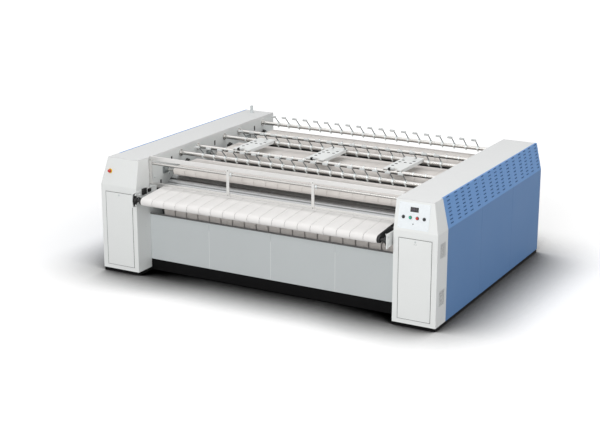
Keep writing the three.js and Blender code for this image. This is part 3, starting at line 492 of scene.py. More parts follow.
# The record's slot that each finish belongs to
slotOf = {finish.name: slotName for slotName, finishes in {
    "white_paint": (whitePaint, nylon, beaconShell), "cover_paint": (coverPaint,), "wall_paint": (wallPaint,),
    "apron_paint": (apronPaint,), "blue_paint": (bluePaint, slotShadeBlue), "polished_steel": (rollSteel,),
    "bright_steel": (rodSteel, railSteel), "zinc_plate": (zinc, wireZinc, platePaint),
    "cast_black": (blackIron, chainSteel), "motor_grey": (greyIron, motorPaint), "felt_belt": (feltCloth,),
    "white_belt": (beltCloth,), "panel_plate": (panelFilm,), "green_plastic": (greenPlastic,),
    "red_plastic": (redPlastic, yellowPlastic, lampDigits),
    "black_plastic": (blackPlastic, edgeRubber, rubber, displayGlass)}.items() for finish in finishes}
print("finishes made")


# A geometry tree with named inputs; what it ends in is real mesh with its material.
class Recipe(Nodes):
    def __init__(self, name, **wanted):
        super().__init__(bpy.data.node_groups.new(name, "GeometryNodeTree"))
        face = self.tree.interface
        face.new_socket("Geometry", in_out="INPUT", socket_type="NodeSocketGeometry")
        for label, kind in {**wanted, "Material": "Material"}.items():
            face.new_socket(label, in_out="INPUT", socket_type="NodeSocket" + kind)
        face.new_socket("Geometry", in_out="OUTPUT", socket_type="NodeSocketGeometry")
        entry = self.tree.nodes.new("NodeGroupInput")
        self.given = {socket.name: Value(self, socket) for socket in entry.outputs}

    # links sockets of a node to the inputs of these names
    def take(self, **names):
        return {socket.replace("_", " "): self.given[name] for socket, name in names.items()}

    def line(self):
        return self.node("GeometryNodeMeshLine", {"mode": "OFFSET"},
                         self.take(Count="Count", Start_Location="Start", Offset="Spacing"))

    def aligned(self, axis, way):
        return self.node("FunctionNodeAlignRotationToVector", {"axis": axis}, {"Vector": way})

    # copies on points, made real and given their material
    def close(self, points, copied, **turned):
        many = self.node("GeometryNodeInstanceOnPoints", {}, {"Points": points, "Instance": copied, **turned})
        real = self.node("GeometryNodeRealizeInstances", {}, {0: many})
        coated = self.node("GeometryNodeSetMaterial", {}, {"Geometry": real, "Material": self.given["Material"]})
        leave = self.tree.nodes.new("NodeGroupOutput")
        self.tree.links.new(coated.socket, leave.inputs[0])

    def bake(self, name, holder, sharp=32, **wanted):
        live = holder.modifiers.new(name, "NODES")
        live.node_group = self.tree
        for item in self.tree.interface.items_tree:
            if item.in_out == "INPUT" and item.name in wanted:
                live[item.identifier] = wanted[item.name]
        data = evaluatedMesh(holder)
        bpy.data.objects.remove(holder)
        for given in wanted.values():
            if isinstance(given, bpy.types.Object):
                bpy.data.objects.remove(given)
        return linked(name, data, (), sharp)


# Copies of the holder's mesh in a row
rowOfCopies = Recipe("Row of copies", Count="Int", Start="Vector", Spacing="Vector")
rowOfCopies.close(rowOfCopies.line(), rowOfCopies.given["Geometry"])

# Copies of a template on the holder's points, each turned to its point's aim
atPlaces = Recipe("Copies at places", Template="Object", Size="Float")
template = atPlaces.node("GeometryNodeObjectInfo", {}, {"Object": atPlaces.given["Template"]}, 4)
aim = atPlaces.node("GeometryNodeInputNamedAttribute", {"data_type": "FLOAT_VECTOR"}, {"Name": "aim"})
atPlaces.close(atPlaces.given["Geometry"], template, Rotation=atPlaces.aligned("Z", aim),
               Scale=atPlaces.given["Size"])

# A rectangular field of copies of the holder's mesh, centred, for perforations
fieldOfCopies = Recipe("Field of copies", Width="Float", Height="Float", Columns="Int", Rows="Int")
field = fieldOfCopies.node("GeometryNodeMeshGrid", {}, fieldOfCopies.take(
    Size_X="Width", Size_Y="Height", Vertices_X="Columns", Vertices_Y="Rows"))
fieldOfCopies.close(field, fieldOfCopies.given["Geometry"])

# Flat belts side by side: the holder's closed loop is swept and repeated along X
beltSet = Recipe("Belt set", Width="Float", Thickness="Float", Rounding="Float", Count="Int",
                 Start="Vector", Spacing="Vector")
loop = beltSet.node("GeometryNodeMeshToCurve", {}, {"Mesh": beltSet.given["Geometry"]})
length = beltSet.node("GeometryNodeSplineParameter", {}, {}, 1)
loop = beltSet.node("GeometryNodeStoreNamedAttribute", {"data_type": "FLOAT", "domain": "POINT"}, {
    "Geometry": loop, "Name": "along", "Value": length})
section = beltSet.node("GeometryNodeCurvePrimitiveQuadrilateral", {}, beltSet.take(
    Width="Width", Height="Thickness"))
section = beltSet.node("GeometryNodeFilletCurve", {"mode": "POLY"}, {
    "Curve": section, "Radius": beltSet.given["Rounding"], "Count": 2})
strip = beltSet.node("GeometryNodeCurveToMesh", {}, {"Curve": loop, "Profile Curve": section})
beltSet.close(beltSet.line(), strip)

# Copies that follow a closed loop, each turned along it, as chain links are
alongLoop = Recipe("Copies along a loop", Template="Object", Count="Int")
track = alongLoop.node("GeometryNodeMeshToCurve", {}, {"Mesh": alongLoop.given["Geometry"]})
track = alongLoop.node("GeometryNodeResampleCurve", {}, {"Curve": track, "Count": alongLoop.given["Count"]})
template = alongLoop.node("GeometryNodeObjectInfo", {}, {"Object": alongLoop.given["Template"]}, 4)
onward = alongLoop.aligned("Y", alongLoop.node("GeometryNodeInputTangent"))
alongLoop.close(track, template, Rotation=onward)
print("recipes made")


def holderOf(name, points, edges=()):
    data = bpy.data.meshes.new(name)
    data.from_pydata([inFrame(*point) for point in points], edges, [])
    return added(name, data)


# Copies of a template at (point, way) places
def placed(name, copied, places, finish):
    holder = holderOf(name + "_places", [point for point, _ in places])
    aims = holder.data.attributes.new("aim", "FLOAT_VECTOR", "POINT")
    for entry, (_, way) in zip(aims.data, places):
        entry.vector = way
    return atPlaces.bake(name, holder, Template=copied, Size=1.0, Material=finish)


def fastened(name, copied, places, finish=zinc, body="frame"):
    return settle(placed(name, copied, places, finish), body, slotOf[finish.name])


def loopHolder(name, points, x=0.0):
    count = len(points)
    return holderOf(name, [(x, y, z) for y, z in points], [(i, (i + 1) % count) for i in range(count)])


# Places on the walls or on one of them that look inwards, or outwards with way=1
def onWalls(x, spots, sides=bothSides, way=-1):
    return [((side * x, y, z), (way * side, 0, 0)) for side in sides for y, z in spots]


def roundOf(y, z, radius, turns):
    return [(y + radius * cos(a), z + radius * sin(a)) for a in turns]


# Fasteners, seated at zero and pointing up
def screwHead(radius, height):
    dome = [(0, 0), (radius, 0), (radius, height * 0.35), (radius * 0.8, height * 0.8), (radius * 0.45, height),
            (radius * 0.3, height * 0.45), (0, height * 0.45)]
    return Shape().lathe(dome, 14).template("Screw")


def hexHead(radius, height):
    shape = Shape().lathe([(0, 0), (radius * 1.25, 0), (radius * 1.25, 1.6), (0, 1.6)], 20)
    shape.lathe([(0, 1.5), (radius, 1.5), (radius, height * 0.85 + 1.5), (radius * 0.86, height + 1.5),
                 (0, height + 1.5)], 6)
    return shape.template("Hex head")


# Cabinets: columns with their vents, doors, blue side covers with their slots, roof covers
rearScrews = [(x, z) for x in (1790, 2012, 2235) for z in (80, 600, 1085)] + [(1790, 1430), (2170, 1430)]
vent = {"y": (-1611, -1443), "z": ((821, 1010), (264, 458)), "hole": 4.4, "pitch": 10.5, "frame": 9,
        "plateX": 2276.8, "frameX": (2277.7, 2279.8)}
louvre = {"columns": (-380, -159, 25, 209, 430), "first": 44, "pitch": 42.6, "rows": 8, "length": 84,
          "height": 13, "panelMiddles": (-885.2, 141, 1167.2)}


def cutterBox(x, y, z):
    return Shape().box(x, y, z).seated("Cutter")


def perforatedPlate(name, side, zRange):
    (y0, y1), (z0, z1), x = vent["y"], zRange, side * vent["plateX"]
    plate = Shape().box((x - 1, x + 1), (y0 + 1, y1 - 1), (z0 + 1, z1 - 1)).seated(name, [whitePaint])
    margin, pitch = vent["frame"] + 3, vent["pitch"]
    columns, rows = [int((high - low - 2 * margin) / pitch) + 1 for low, high in (vent["y"], zRange)]
    hole = Shape().rod(vent["hole"], -6, 6, 8).template("Hole")
    cutter = fieldOfCopies.bake("Holes", hole, Width=(columns - 1) * pitch / 1000,
                                Height=(rows - 1) * pitch / 1000, Columns=columns, Rows=rows,
                                Material=whitePaint)
    spot = Matrix.Translation(inFrame(x, (y0 + y1) / 2, (z0 + z1) / 2))
    cutter.data.transform(spot @ Matrix.Rotation(quarter, 4, "Y") @ Matrix.Rotation(quarter, 4, "Z"))
    return settle(carved(plate, [cutter]), "frame", "white_paint")


def ventFrame(name, side, zRange):
    shape = Shape()
    for y, z in borders(*[(low + 0.3, high - 0.3) for low, high in (vent["y"], zRange)], vent["frame"]):
        shape.box(span(side, *vent["frameX"]), y, z)
    return shape.piece(name, whitePaint, bevel=0.5)


def doorSeal(name, door):
    low, high = (corner * 1000 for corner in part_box(door))
    shape = Shape()
    for x, z in borders((low.x - 0.8, high.x + 0.8), (low.z - 0.8, high.z + 0.8), 4):
        shape.box(x, (-1683.5, -1680), z)
    return shape.piece(name, edgeRubber, door)


# A blue side panel with slots square to its leaning upper part, and a dark blue sheet behind them as painted shade
# in the slots
def sidePanel(end, side, n, middle):
    run, rise = sin(shell["sideLean"]), cos(shell["sideLean"])
    places = []
    for level in range(louvre["rows"]):
        up = louvre["first"] + level * louvre["pitch"]
        places += [((side * (shell["outer"] - up * run), middle + column, shell["knee"] + up * rise),
                    (side * rise, 0, run)) for column in louvre["columns"]]
    bow = louvre["height"] / 2
    half = louvre["length"] / 2 - bow
    slotOutline = arc((0, half), bow, 0, 180, 6) + arc((0, -half), bow, 180, 360, 6)
    cutter = placed("Slots", Shape().prism(slotOutline, -14, 8).template("Slot"), places, bluePaint)
    dressed(f"{end}_side_panel_{n}", bluePaint, 1.0, [cutter])
    slope = Matrix(((-side * run, 0, side * rise, side * shell["outer"]), (0, 1, 0, middle),
                    (rise, 0, run, shell["knee"]), (0, 0, 0, 1)))
    # Painted shade: a dark blue sheet behind the slots makes them look shaded
    Shape().box((22, 348), (-468, 490), (-12, -8), slope).piece(f"{end}_louvre_backing_{n}", slotShadeBlue)


for end, side in ends.items():
    openings = [cutterBox((side * shell["outer"] - 12, side * shell["outer"] + 12), vent["y"], z)
                for z in vent["z"]]
    dressed(f"{end}_front_column", whitePaint, 1.6, openings)
    for n, z in enumerate(vent["z"]):
        perforatedPlate(f"{end}_vent_{n + 1}", side, z)
        ventFrame(f"{end}_vent_frame_{n + 1}", side, z)
    dressed(f"{end}_door", whitePaint, 1.6, body=f"{end}_door")
    doorSeal(f"{end}_door_seal", f"{end}_door")
    dressed(f"{end}_top_cover", coverPaint, 1.4)
    seat = Shape().rod(6.6, -2.8, 4, 16).template("Screw seat")
    seatPlaces = [((side * x, shell["back"], z), (0, 1, 0)) for x, z in rearScrews]
    dressed(f"{end}_rear_panel", wallPaint, 0, [placed("Screw seats", seat, seatPlaces, wallPaint)])
    for n, middle in enumerate(louvre["panelMiddles"]):
        sidePanel(end, side, n + 1, middle)
print("cabinets dressed")

# Welded frame: grey walls with their seams and slots, black plinth and beams
wall = {"slotY": (-898, 122, 1155), "slotZ": (1307, 1374), "slotHalf": 17, "seamY": (-365, 642), "seamHalf": 1.6,
        "plinthTop": 40.2}
frameCuts = []
for side in bothSides:
    for y in wall["slotY"]:
        frameCuts.append(cutterBox(span(side, 1742, 1765), (y - wall["slotHalf"], y + wall["slotHalf"]),
                                   wall["slotZ"]))
    for y in wall["seamY"]:
        half, x = wall["seamHalf"], side * shell["wall"]
        frameCuts.append(cutterBox((x - half, x + half), (y - half, y + half), (153, 1437)))
mainSkin = carved(copyOf("main_frame", "main_frame_skin", [wallPaint, blackPaint]), frameCuts)
mesh = bmesh.new()
mesh.from_mesh(mainSkin.data)
bmesh.ops.bisect_plane(mesh, geom=mesh.verts[:] + mesh.edges[:] + mesh.faces[:],
                       plane_co=(0, 0, wall["plinthTop"] / 1000), plane_no=(0, 0, 1))
mesh.to_mesh(mainSkin.data)
mesh.free()
for face in mainSkin.data.polygons:
    x, z = abs(face.center.x) * 1000, face.center.z * 1000
    face.material_index = int(z < wall["plinthTop"] + 0.3 or x < shell["wall"] - 2)
settle(rounded(mainSkin, 1.2), "frame", "wall_paint", "main_frame")

# Painted shade: black plates inside the wall slots stand in for the dark inside of the cabinet beyond them
slotShadePlates = Shape()
for side in bothSides:
    for y in wall["slotY"]:
        slotShadePlates.box((side * 1746.5, side * 1752), (y - 16.6, y + 16.6), (1307.5, 1373.5))
slotShadePlates.piece("wall_slot_inserts", rubber, bevel=0.5)

apronSeams = (-873, 0, 873)
for name in ("apron_panel_1", "apron_panel_2", "apron_panel_3", "apron_panel_4", "rear_apron"):
    dressed(name, apronPaint)
seamStrips = Shape()
for x in apronSeams:
    seamStrips.box((x - 1.8, x + 1.8), (-1403.3, -1398), (156, 640))
seamStrips.piece("apron_seam_strips", whitePaint)
# A dark grey strip along the apron's top stands for its top flange; its darkness is partly painted shade of the
# flange in shadow
Shape().box((-1742, 1742), (-1404.5, -1394), (738.4, 757)).piece("apron_top_edge", edgeRubber, slot="cast_black",
                                                                 bevel=1.5)

# Screws beside the apron's seams, on the columns' inner sides and, sunk, in the back
screwPlaces = [((x + dx, -1403, z), (0, -1, 0)) for x in apronSeams for dx in (-26, 26) for z in (712, 178)]
for side in bothSides:
    screwPlaces += onWalls(shell["wall"], ((-1588, 1153), (-1536, 1134), (-1500, 595)), (side,))
    screwPlaces += [((side * x, 1680.3, z), (0, 1, 0)) for x, z in rearScrews]
fastened("cover_screws", screwHead(5.2, 2.4), screwPlaces)
print("frame and covers dressed")

# Heated rolls: shell, heads with their bolts, journals and the toothed sprocket
roll = {"radius": 385, "end": 1670, "wall": 16, "journal": 55, "bore": 25, "reach": 1907, "teeth": 20,
        "boltCircle": 150, "bolts": 16}


def heatedRoll(name, y):
    r, e, j, reach, at = roll["radius"], roll["end"], roll["journal"], roll["reach"], alongX(y, rollZ)
    inner = e - 20
    profile = mirrored([(roll["bore"], -reach), (j - 2, -reach), (j, 2 - reach), (j, -e - 26), (j + 55, -e - 12),
                        (j + 55, -e - 1), (r - 46, -e - 1), (r - 46, -e + 6), (r - 5, -e + 6), (r, -e + 10)])
    profile += mirrored([(roll["bore"], inner), (r - roll["wall"], inner)])
    body = Shape().lathe(profile, 128, at, True)
    body.prism(toothed(roll["teeth"], ((0.1, 108), (0.34, 117.6), (0.66, 117.6), (0.9, 108))), 1824.5, 1833.5, at)
    body.ring(54, 80, 1817, 1841, 32, at)
    body.piece(name + "_shell", rollSteel, name, name, sharp=28)
    turns = [tau * n / roll["bolts"] for n in range(roll["bolts"])]
    bolts = onWalls(e + 1, roundOf(y, rollZ, roll["boltCircle"], turns), way=1)
    fastened(name + "_bolts", hexHead(11, 10), bolts, body=name)


for n, y in enumerate(rollAxes):
    heatedRoll(f"heated_roll_{n + 1}", y)
print("rolls made")


# Rollers inside the belts
def roller(name, radius, journal=15, reach=1744.7, finish=rodSteel):
    low, high = beltEdges[0] - 4, beltEdges[1] + 4
    profile = [(0, -reach), (journal - 1.2, -reach), (journal, 1.2 - reach), (journal, low), (radius - 2, low),
               (radius, low + 2), (radius, high - 2), (radius - 2, high), (journal, high), (journal, reach - 1.2),
               (journal - 1.2, reach), (0, reach)]
    Shape().lathe(profile, 48, alongX(*axisOf(name))).piece(name + "_round", finish, name, name)


for n in range(1, 4):
    roller(f"belt_roller_front_{n}", 45.7)
    roller(f"belt_roller_rear_{n}", 45.7)
roller("feed_rear_roller", 43.7)
roller("feed_nose_roller", 43.7, 19, 1727, blackIron)

# Belts: nineteen strips side by side on each set of rollers
belt = {"thickness": 5.8, "rounding": 1.8, "upperGap": 2.6, "feedGap": 3.6, "lowerGap": 12}


def beltStrips(name, points, gap, finish, node):
    count = int((beltEdges[1] - beltEdges[0]) / beltPitch + 0.5)
    made = beltSet.bake(name, loopHolder(name + "_loop", points), 40, Width=(beltPitch - gap) / 1000,
                        Thickness=belt["thickness"] / 1000, Rounding=belt["rounding"] / 1000, Count=count,
                        Spacing=(beltPitch / 1000, 0, 0), Start=((beltEdges[0] + beltPitch / 2) / 1000, 0, 0),
                        Material=finish)
    return settle(made, "frame", slotOf[finish.name], node)


def lowerLoop(center, turn, inner, start, stop):
    first, last = [arc(center, turn, angle, angle, 1)[0] for angle in (start, stop)]
    return (arc(center, turn + inner, start, stop, 48) + arc(last, inner, stop, stop + 180, 12)[1:]
            + arc(center, turn - inner, stop, start, 48)[1:] + arc(first, inner, start - 180, start, 12)[1:-1])


for n in range(1, 4):
    loopPoints = roundLoop(axisOf(f"belt_roller_front_{n}"), axisOf(f"belt_roller_rear_{n}"), 49, 16)
    beltStrips(f"upper_belts_{n}", loopPoints, belt["upperGap"], feltCloth, f"upper_belt_{n}")
noseAxis, rearAxis = axisOf("feed_nose_roller"), axisOf("feed_rear_roller")
beltStrips("feed_belts", roundLoop(noseAxis, rearAxis, 47, 18), belt["feedGap"], beltCloth, "feed_belt")
lowerPoints = lowerLoop((rollAxes[0], rollZ), 417.3, 29, 182, 352)
beltStrips("lower_belts", lowerPoints, belt["lowerGap"], feltCloth, "lower_belt")

# Slider bed under the feed belts' top run, edge plate beside it, dark ends on the nose roller
bed = {"low": 40, "high": 43.4, "edge": 7, "half": 40}
feedRise, feedReach = rearAxis[1] - noseAxis[1], rearAxis[0] - noseAxis[0]
feedRun = hypot(feedRise, feedReach)
onFeed = upright(0, *noseAxis) @ Matrix.Rotation(atan2(feedRise, feedReach), 4, "X")
bedShape = Shape().box((beltEdges[0] + 5, beltEdges[1] - 5), (2, feedRun - 2), (bed["low"], bed["high"]), onFeed)
bedShape.piece("feed_slider_bed", rubber, slot="cast_black", bevel=0.5)
edgePlate = Shape().box((beltEdges[1] + 5, beltEdges[1] + 5 + bed["edge"]), (22, feedRun - 22),
                        (-bed["half"], bed["half"]), onFeed)
edgePlate.piece("feed_edge_plate", blackIron, bevel=1.2)
noseEnds = Shape()
for low, high in ((beltEdges[0] - 30, beltEdges[0] - 4.4), (beltEdges[1] + 4.4, beltEdges[1] + 30)):
    noseEnds.lathe([(19.1, low), (40, low), (42, low + 2), (42, high - 2), (40, high), (19.1, high)], 40,
                   alongX(*noseAxis), True)
noseEnds.piece("nose_roller_ends", blackIron, "feed_nose_roller")
print("belts made")

# Guide rods with their wall flanges; three of them carry clamps, wires and sleeves
rodLook = {"radius": 24, "flange": 44, "reach": 1744.7, "boltCircle": 34,
           "boltTurns": (0.785, 2.356, 3.927, 5.498)}
finger = {"first": -1397, "pitch": 166.4, "lean": 105, "rise": 128, "hook": 34, "wire": 6.6, "sleeve": 15,
          "sleeveLength": 42}


def guideRod(node, y):
    r, f, e = rodLook["radius"], rodLook["flange"], rodLook["reach"]
    profile = mirrored([(0, -e), (f - 1.5, -e), (f, 1.5 - e), (f, 8.5 - e), (f - 1.5, 10 - e), (r + 5, 10 - e),
                        (r + 3, 24 - e), (r, 24 - e)])
    Shape().lathe(profile, 48, alongX(y, rodZ)).piece(node + "_tube", rodSteel, "frame", node)
    spots = roundOf(y, rodZ, rodLook["boltCircle"], rodLook["boltTurns"])
    fastened(node + "_tube_bolts", hexHead(4.6, 4), onWalls(e - 10, spots))


def inRow(name, copied, first, count, finish):
    made = rowOfCopies.bake(name, copied, Count=count, Start=(first / 1000, 0, 0),
                            Spacing=(finger["pitch"] / 1000, 0, 0), Material=finish)
    return settle(made, "frame", slotOf[finish.name])


def fingers(name, y, first, count):
    clamp = Shape().lathe([(24.1, -12), (29.5, -12), (30.5, -11), (30.5, 11), (29.5, 12), (24.1, 12)], 32,
                          alongX(y, rodZ), True)
    clamp.box((-11, 11), (y - 8, y + 8), (rodZ + 27, rodZ + 34))
    clamp.box((-7, 7), (y - 6, y + 6), (rodZ - 44, rodZ - 28))
    inRow(name + "_clamps", clamp.seated("Clamp"), first, count, zinc)
    tipY, tipZ, r = y - finger["lean"], rodZ + finger["rise"], finger["sleeve"]
    path = [(0, y - 2, rodZ + 25), (0, y - 4, rodZ + 31), (0, y - 12, rodZ + 41)]
    lean, rise = finger["lean"] - 24, finger["rise"] - 52
    path += [(0, y - 12 - lean * t, rodZ + 41 + rise * t) for t in (0.33, 0.66, 1)]
    path += [(-1, tipY + 6, tipZ - 7), (-4, tipY + 2, tipZ - 2)]
    inRow(name + "_wires", Shape().wire(path, finger["wire"], 10).seated("Wire"), first, count, wireZinc)
    low, high = -finger["hook"] - finger["sleeveLength"] / 2, 9
    sleeve = Shape().rod(r, low, high, 20, alongX(tipY, tipZ), 2)
    inRow(name + "_sleeves", sleeve.seated("Sleeve"), first, count, nylon)


for n, (y, first, count) in enumerate(zip(combRods, (finger["first"], finger["first"], -1480), (18, 18, 19))):
    guideRod(f"comb_rod_{n + 1}", y)
    fingers(f"comb_{n + 1}", y, first, count)
for n, y in enumerate(plainRods):
    guideRod(f"plain_rod_{n + 1}", y)
    clip = Shape().ring(24.1, 27.5, -8, 8, 32, alongX(y, rodZ))
    clip.box((-6, 6), (y - 5, y + 5), (rodZ + 26, rodZ + 33))
    inRow(f"plain_rod_{n + 1}_clips", clip.seated("Clip"), finger["first"] + 83, 18, zinc)
print("guide rods made")

# Tie plates with their plugs and stops, brackets of the feed table
tie = {"front": -312, "column": 73, "row": 102, "top": 1418.8,
       "holes": ((-1, 0), (-1, 1), (-1, 2), (-1, 3), (0, 2), (1, 2), (1, 3))}
for n in range(1, 4):
    name = f"tie_plate_{n}"
    dressed(name, platePaint, 0.8)
    middle = (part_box(name)[0][0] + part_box(name)[1][0]) * 500
    plugs = Shape()
    for column, line in tie["holes"]:
        at = upright(middle + column * tie["column"], tie["front"] + 187 + line * tie["row"])
        plugs.lathe([(0, 1409), (23, 1409), (23, 1414), (19.6, 1414), (19.6, tie["top"]), (0, tie["top"])], 28, at)
    plugs.box((middle - 54, middle - 30), (tie["front"] + 2, tie["front"] + 44), (1404.4, 1430))
    plugs.piece(name + "_plugs", rubber, bevel=0.6)
    stop = Shape().lathe([(0, -24), (13, -24), (14, -22), (14, 22), (13, 24), (0, 24)], 28,
                         alongX(tie["front"] + 24, 1419.5, middle - 2))
    stop.piece(name + "_stop", nylon)
for end in ends:
    dressed(f"{end}_feed_bracket", platePaint)

# Feed table ends: flange bearings, bolts and the belt tensioners
noseY, noseZ = noseAxis
feedEnd = {"face": 1714.7, "cap": 1727.4, "screwX": 1702, "eye": 66, "block": (58, 92)}
for end, side in ends.items():
    at, face, cap = alongX(noseY, noseZ), feedEnd["face"], feedEnd["cap"]
    outline = (arc((0, 63), 21, 20, 160, 6) + arc((0, 0), 42, 150, 210, 5) + arc((0, -63), 21, 200, 340, 6)
               + arc((0, 0), 42, 330, 390, 5))
    cast = Shape().prism(outline, *span(side, face - 15, face), at)
    hub = ((19.3, 0), (36, 0), (36, -34), (33, -38), (27, -42), (19.3, -42))
    cast.lathe([(r, side * (face + h)) for r, h in hub], 40, at, True)
    cast.piece(f"{end}_feed_bearing_cast", blackIron, "frame", f"{end}_feed_bearing", bevel=1.5)
    disc = [(r, side * (cap + h)) for r, h in ((0, 0), (27, 0), (27, 2.6), (24, 5.6), (0, 5.6))]
    Shape().lathe(disc, 36, at).piece(f"{end}_bearing_cap", platePaint)
    eyes = [(noseY, noseZ + dz) for dz in (-feedEnd["eye"], feedEnd["eye"])]
    inner = [(noseY + dy, noseZ + dz) for dy, dz in ((110, 40), (110, -40), (330, 40), (330, -20))]
    bolts = onWalls(face - 15, eyes, (side,)) + onWalls(face - 0.1, inner, (side,))
    bolts += onWalls(cap - 0.2, eyes, (side,), 1)
    fastened(f"{end}_feed_bearing_bolts", hexHead(11, 8), bolts, platePaint)
    front, back = [noseY + dy for dy in feedEnd["block"]]
    block = Shape().box(span(side, 1690, face - 0.1), (front, back), (noseZ - 16, noseZ + 16))
    block.piece(f"{end}_tension_block", blackIron, bevel=1.5)
    x = side * feedEnd["screwX"]
    Shape().rod(6, -150, 0, 16, toFront(x, noseY + 40, noseZ)).piece(f"{end}_tension_screw", zinc)
    nuts = [((x, front, noseZ), (0, -1, 0)), ((x, back, noseZ), (0, 1, 0))]
    fastened(f"{end}_tension_nuts", hexHead(10, 8), nuts)
print("feed table made")

# Finger guard
guardLook = {"y": -1385, "end": 1740, "posts": (-590, 575)}
railZ, guardTop = [corner[2] * 1000 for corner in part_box("finger_guard")]
gy, e, guardPosts = guardLook["y"], guardLook["end"], guardLook["posts"]
uprights = (20 - e, e - 20) + guardPosts
onTube = alongX(gy, railZ + 272)
guard = Shape()
for z in ((guardTop - 53, guardTop), (railZ, railZ + 30)):
    guard.box((-e, e), (gy - 10, gy + 10), z)
for x in uprights:
    guard.box((x - 20, x + 20), (gy - 19, gy - 10.2), (railZ + 2, guardTop - 40))
guard.piece("guard_frame", railSteel, "finger_guard", "finger_guard", bevel=2)
tube = Shape().rod(16.5, -e, e, 36, onTube, 1).rod(9, -1744.7, 1744.7, 20, onTube, 1)
tube.piece("guard_tube", rodSteel, "finger_guard")
clamps = Shape()
for x in guardPosts:
    clamps.ring(16.6, 23, x + 27, x + 50, 28, onTube)
    clamps.box((x + 33, x + 44), (gy - 6, gy + 6), (railZ + 236, railZ + 252))
clamps.piece("guard_clamps", zinc, "finger_guard", bevel=0.8)
guardScrews = [((x, gy - 19, z), (0, -1, 0)) for z in (railZ + 14, guardTop - 46) for x in uprights]
fastened("guard_screws", screwHead(6, 2.5), guardScrews, blackPlastic, "finger_guard")

# Roller bearings, brackets and bolts on the inner walls
fittings, castings = Shape(), Shape()
bearing = ((15.3, 1744.8), (38, 1744.8), (38, 1732), (27, 1724), (25, 1708), (15.3, 1708))
blocks = (((1738, 1744.8), (-1166, -1144), (1072, 1128)), ((1705, 1744.8), (-895, -842), (1062, 1100)),
          ((1728, 1744.8), (-1262, -1222), (1026, 1058)), ((1688, 1714), (-1612, -1536), (1040, 1116)),
          ((1694, 1714), (-1486, -1436), (1046, 1090)))
for side in bothSides:
    for n in range(1, 4):
        for place, kind, half in (("front", castings, 44), ("rear", fittings, 20)):
            y, z = axisOf(f"belt_roller_{place}_{n}")
            kind.lathe([(r, side * h) for r, h in bearing], 28, alongX(y, z), True)
            kind.box(span(side, 1731, 1744.8), (y - 60, y + 56), (z - half, z + half))
    for x, y, z in blocks:
        fittings.box(span(side, *x), y, z)
    fittings.wire([(side * 1708, -1560, 1110), (side * 1708, -1500, 1104)], 5, 10)
fittings.piece("wall_fittings", blackIron, bevel=1.5)
castings.piece("roller_bearings", greyIron, bevel=1.5)
fastened("wall_bolts", hexHead(11, 8), onWalls(1744.8, ((-1286, 1190), (-966, 1170))))
print("guard and wall fittings made")

# Controls on the right column's leaning face
panel = {"middle": (-36.5, 172), "screws": (174, 134), "row": 156, "step": 83.5,
         "display": ((-80.5, 7.5), (226, 269)), "digit": 18, "bezel": 5}
dressed("control_plate", panelFilm, 1.5)
px, py = panel["middle"]
sx, sy = panel["screws"]
plateScrews = [(onControlFace(1, px + dx, py + dy, 4.3).translation, onControlFace(1).col[2].xyz)
               for dx in (-sx, sx) for dy in (-sy, sy)]
fastened("control_plate_screws", screwHead(4.6, 2.2), plateScrews)
bezel = Shape()
for x, y in borders(*[(low - panel["bezel"], high + panel["bezel"]) for low, high in panel["display"]],
                    panel["bezel"]):
    bezel.box(x, y, (4, 7.5), onControlFace(1))
bezel.piece("display_bezel", blackPlastic, bevel=0.8)
Shape().box(*panel["display"], (4, 6), onControlFace(1)).piece("display_window", displayGlass, bevel=0.4)
segments = {"a": (0, 1, 1), "b": (1, 0.5, 0), "c": (1, -0.5, 0), "d": (0, -1, 1), "e": (-1, -0.5, 0),
            "f": (-1, 0.5, 0)}
displayX, displayY = [(low + high) / 2 for low, high in panel["display"]]
digits = Shape()
for n, lit in enumerate(("abcdef", "abcdef", "bc")):
    for key in lit:
        sx, sy, flat = segments[key]
        cx, cy = displayX + (n - 1) * panel["digit"] + sx * 5, displayY + sy * 10
        w, h = (4.2, 1.1) if flat else (1.1, 4.2)
        digits.box((cx - w, cx + w), (cy - h, cy + h), (6, 6.3), onControlFace(1))
digits.piece("display_digits", lampDigits)

collars = Shape()
rowX = [px + (n - 1.5) * panel["step"] for n in range(4)]
for x in rowX:
    collars.lathe([(15.6, 4.2), (19.5, 4.2), (19.5, 8.3), (18, 9.8), (15.6, 9.8)], 40,
                  onControlFace(1, x, panel["row"]), True)
collars.piece("button_collars", blackPlastic)
button = [(0, -26), (7, -26), (8, -25), (8, 10.3), (13.8, 10.3), (15, 11.5), (15, 18.8), (14.1, 21.1), (12, 22.3),
          (7.2, 21.4), (0, 20.9)]
for name, x, finish in zip(("start_button", "stop_button", "jog_button"), rowX[1:],
                           (greenPlastic, redPlastic, blackPlastic)):
    head = Shape().lathe(button, 40, onControlFace(1, x, panel["row"]))
    head.piece(name + "_head", finish, name, name, sharp=40)
at = onControlFace(1, rowX[0], panel["row"])
knob = Shape().lathe([(0, -26), (8, -26), (8, 4.6), (17, 4.6), (17, 10), (15.5, 12), (0, 12)], 36, at)
knob.prism([(-5, -16.5), (5, -16.5), (4, 16.5), (-4, 16.5)], 11, 24.4, at)
knob.piece("mode_switch_knob", blackPlastic, "mode_switch", "mode_switch", bevel=1.2)
Shape().box((-0.8, 0.8), (4, 15), (24.3, 24.9), at).piece("mode_switch_mark", nylon, "mode_switch")
plug = Shape().lathe([(0, 4), (6.5, 4), (6.5, 6), (5.5, 7.2), (0, 7.2)], 24, onControlFace(1, -39.5, 86.5))
plug.piece("blanking_plug", blackPlastic)

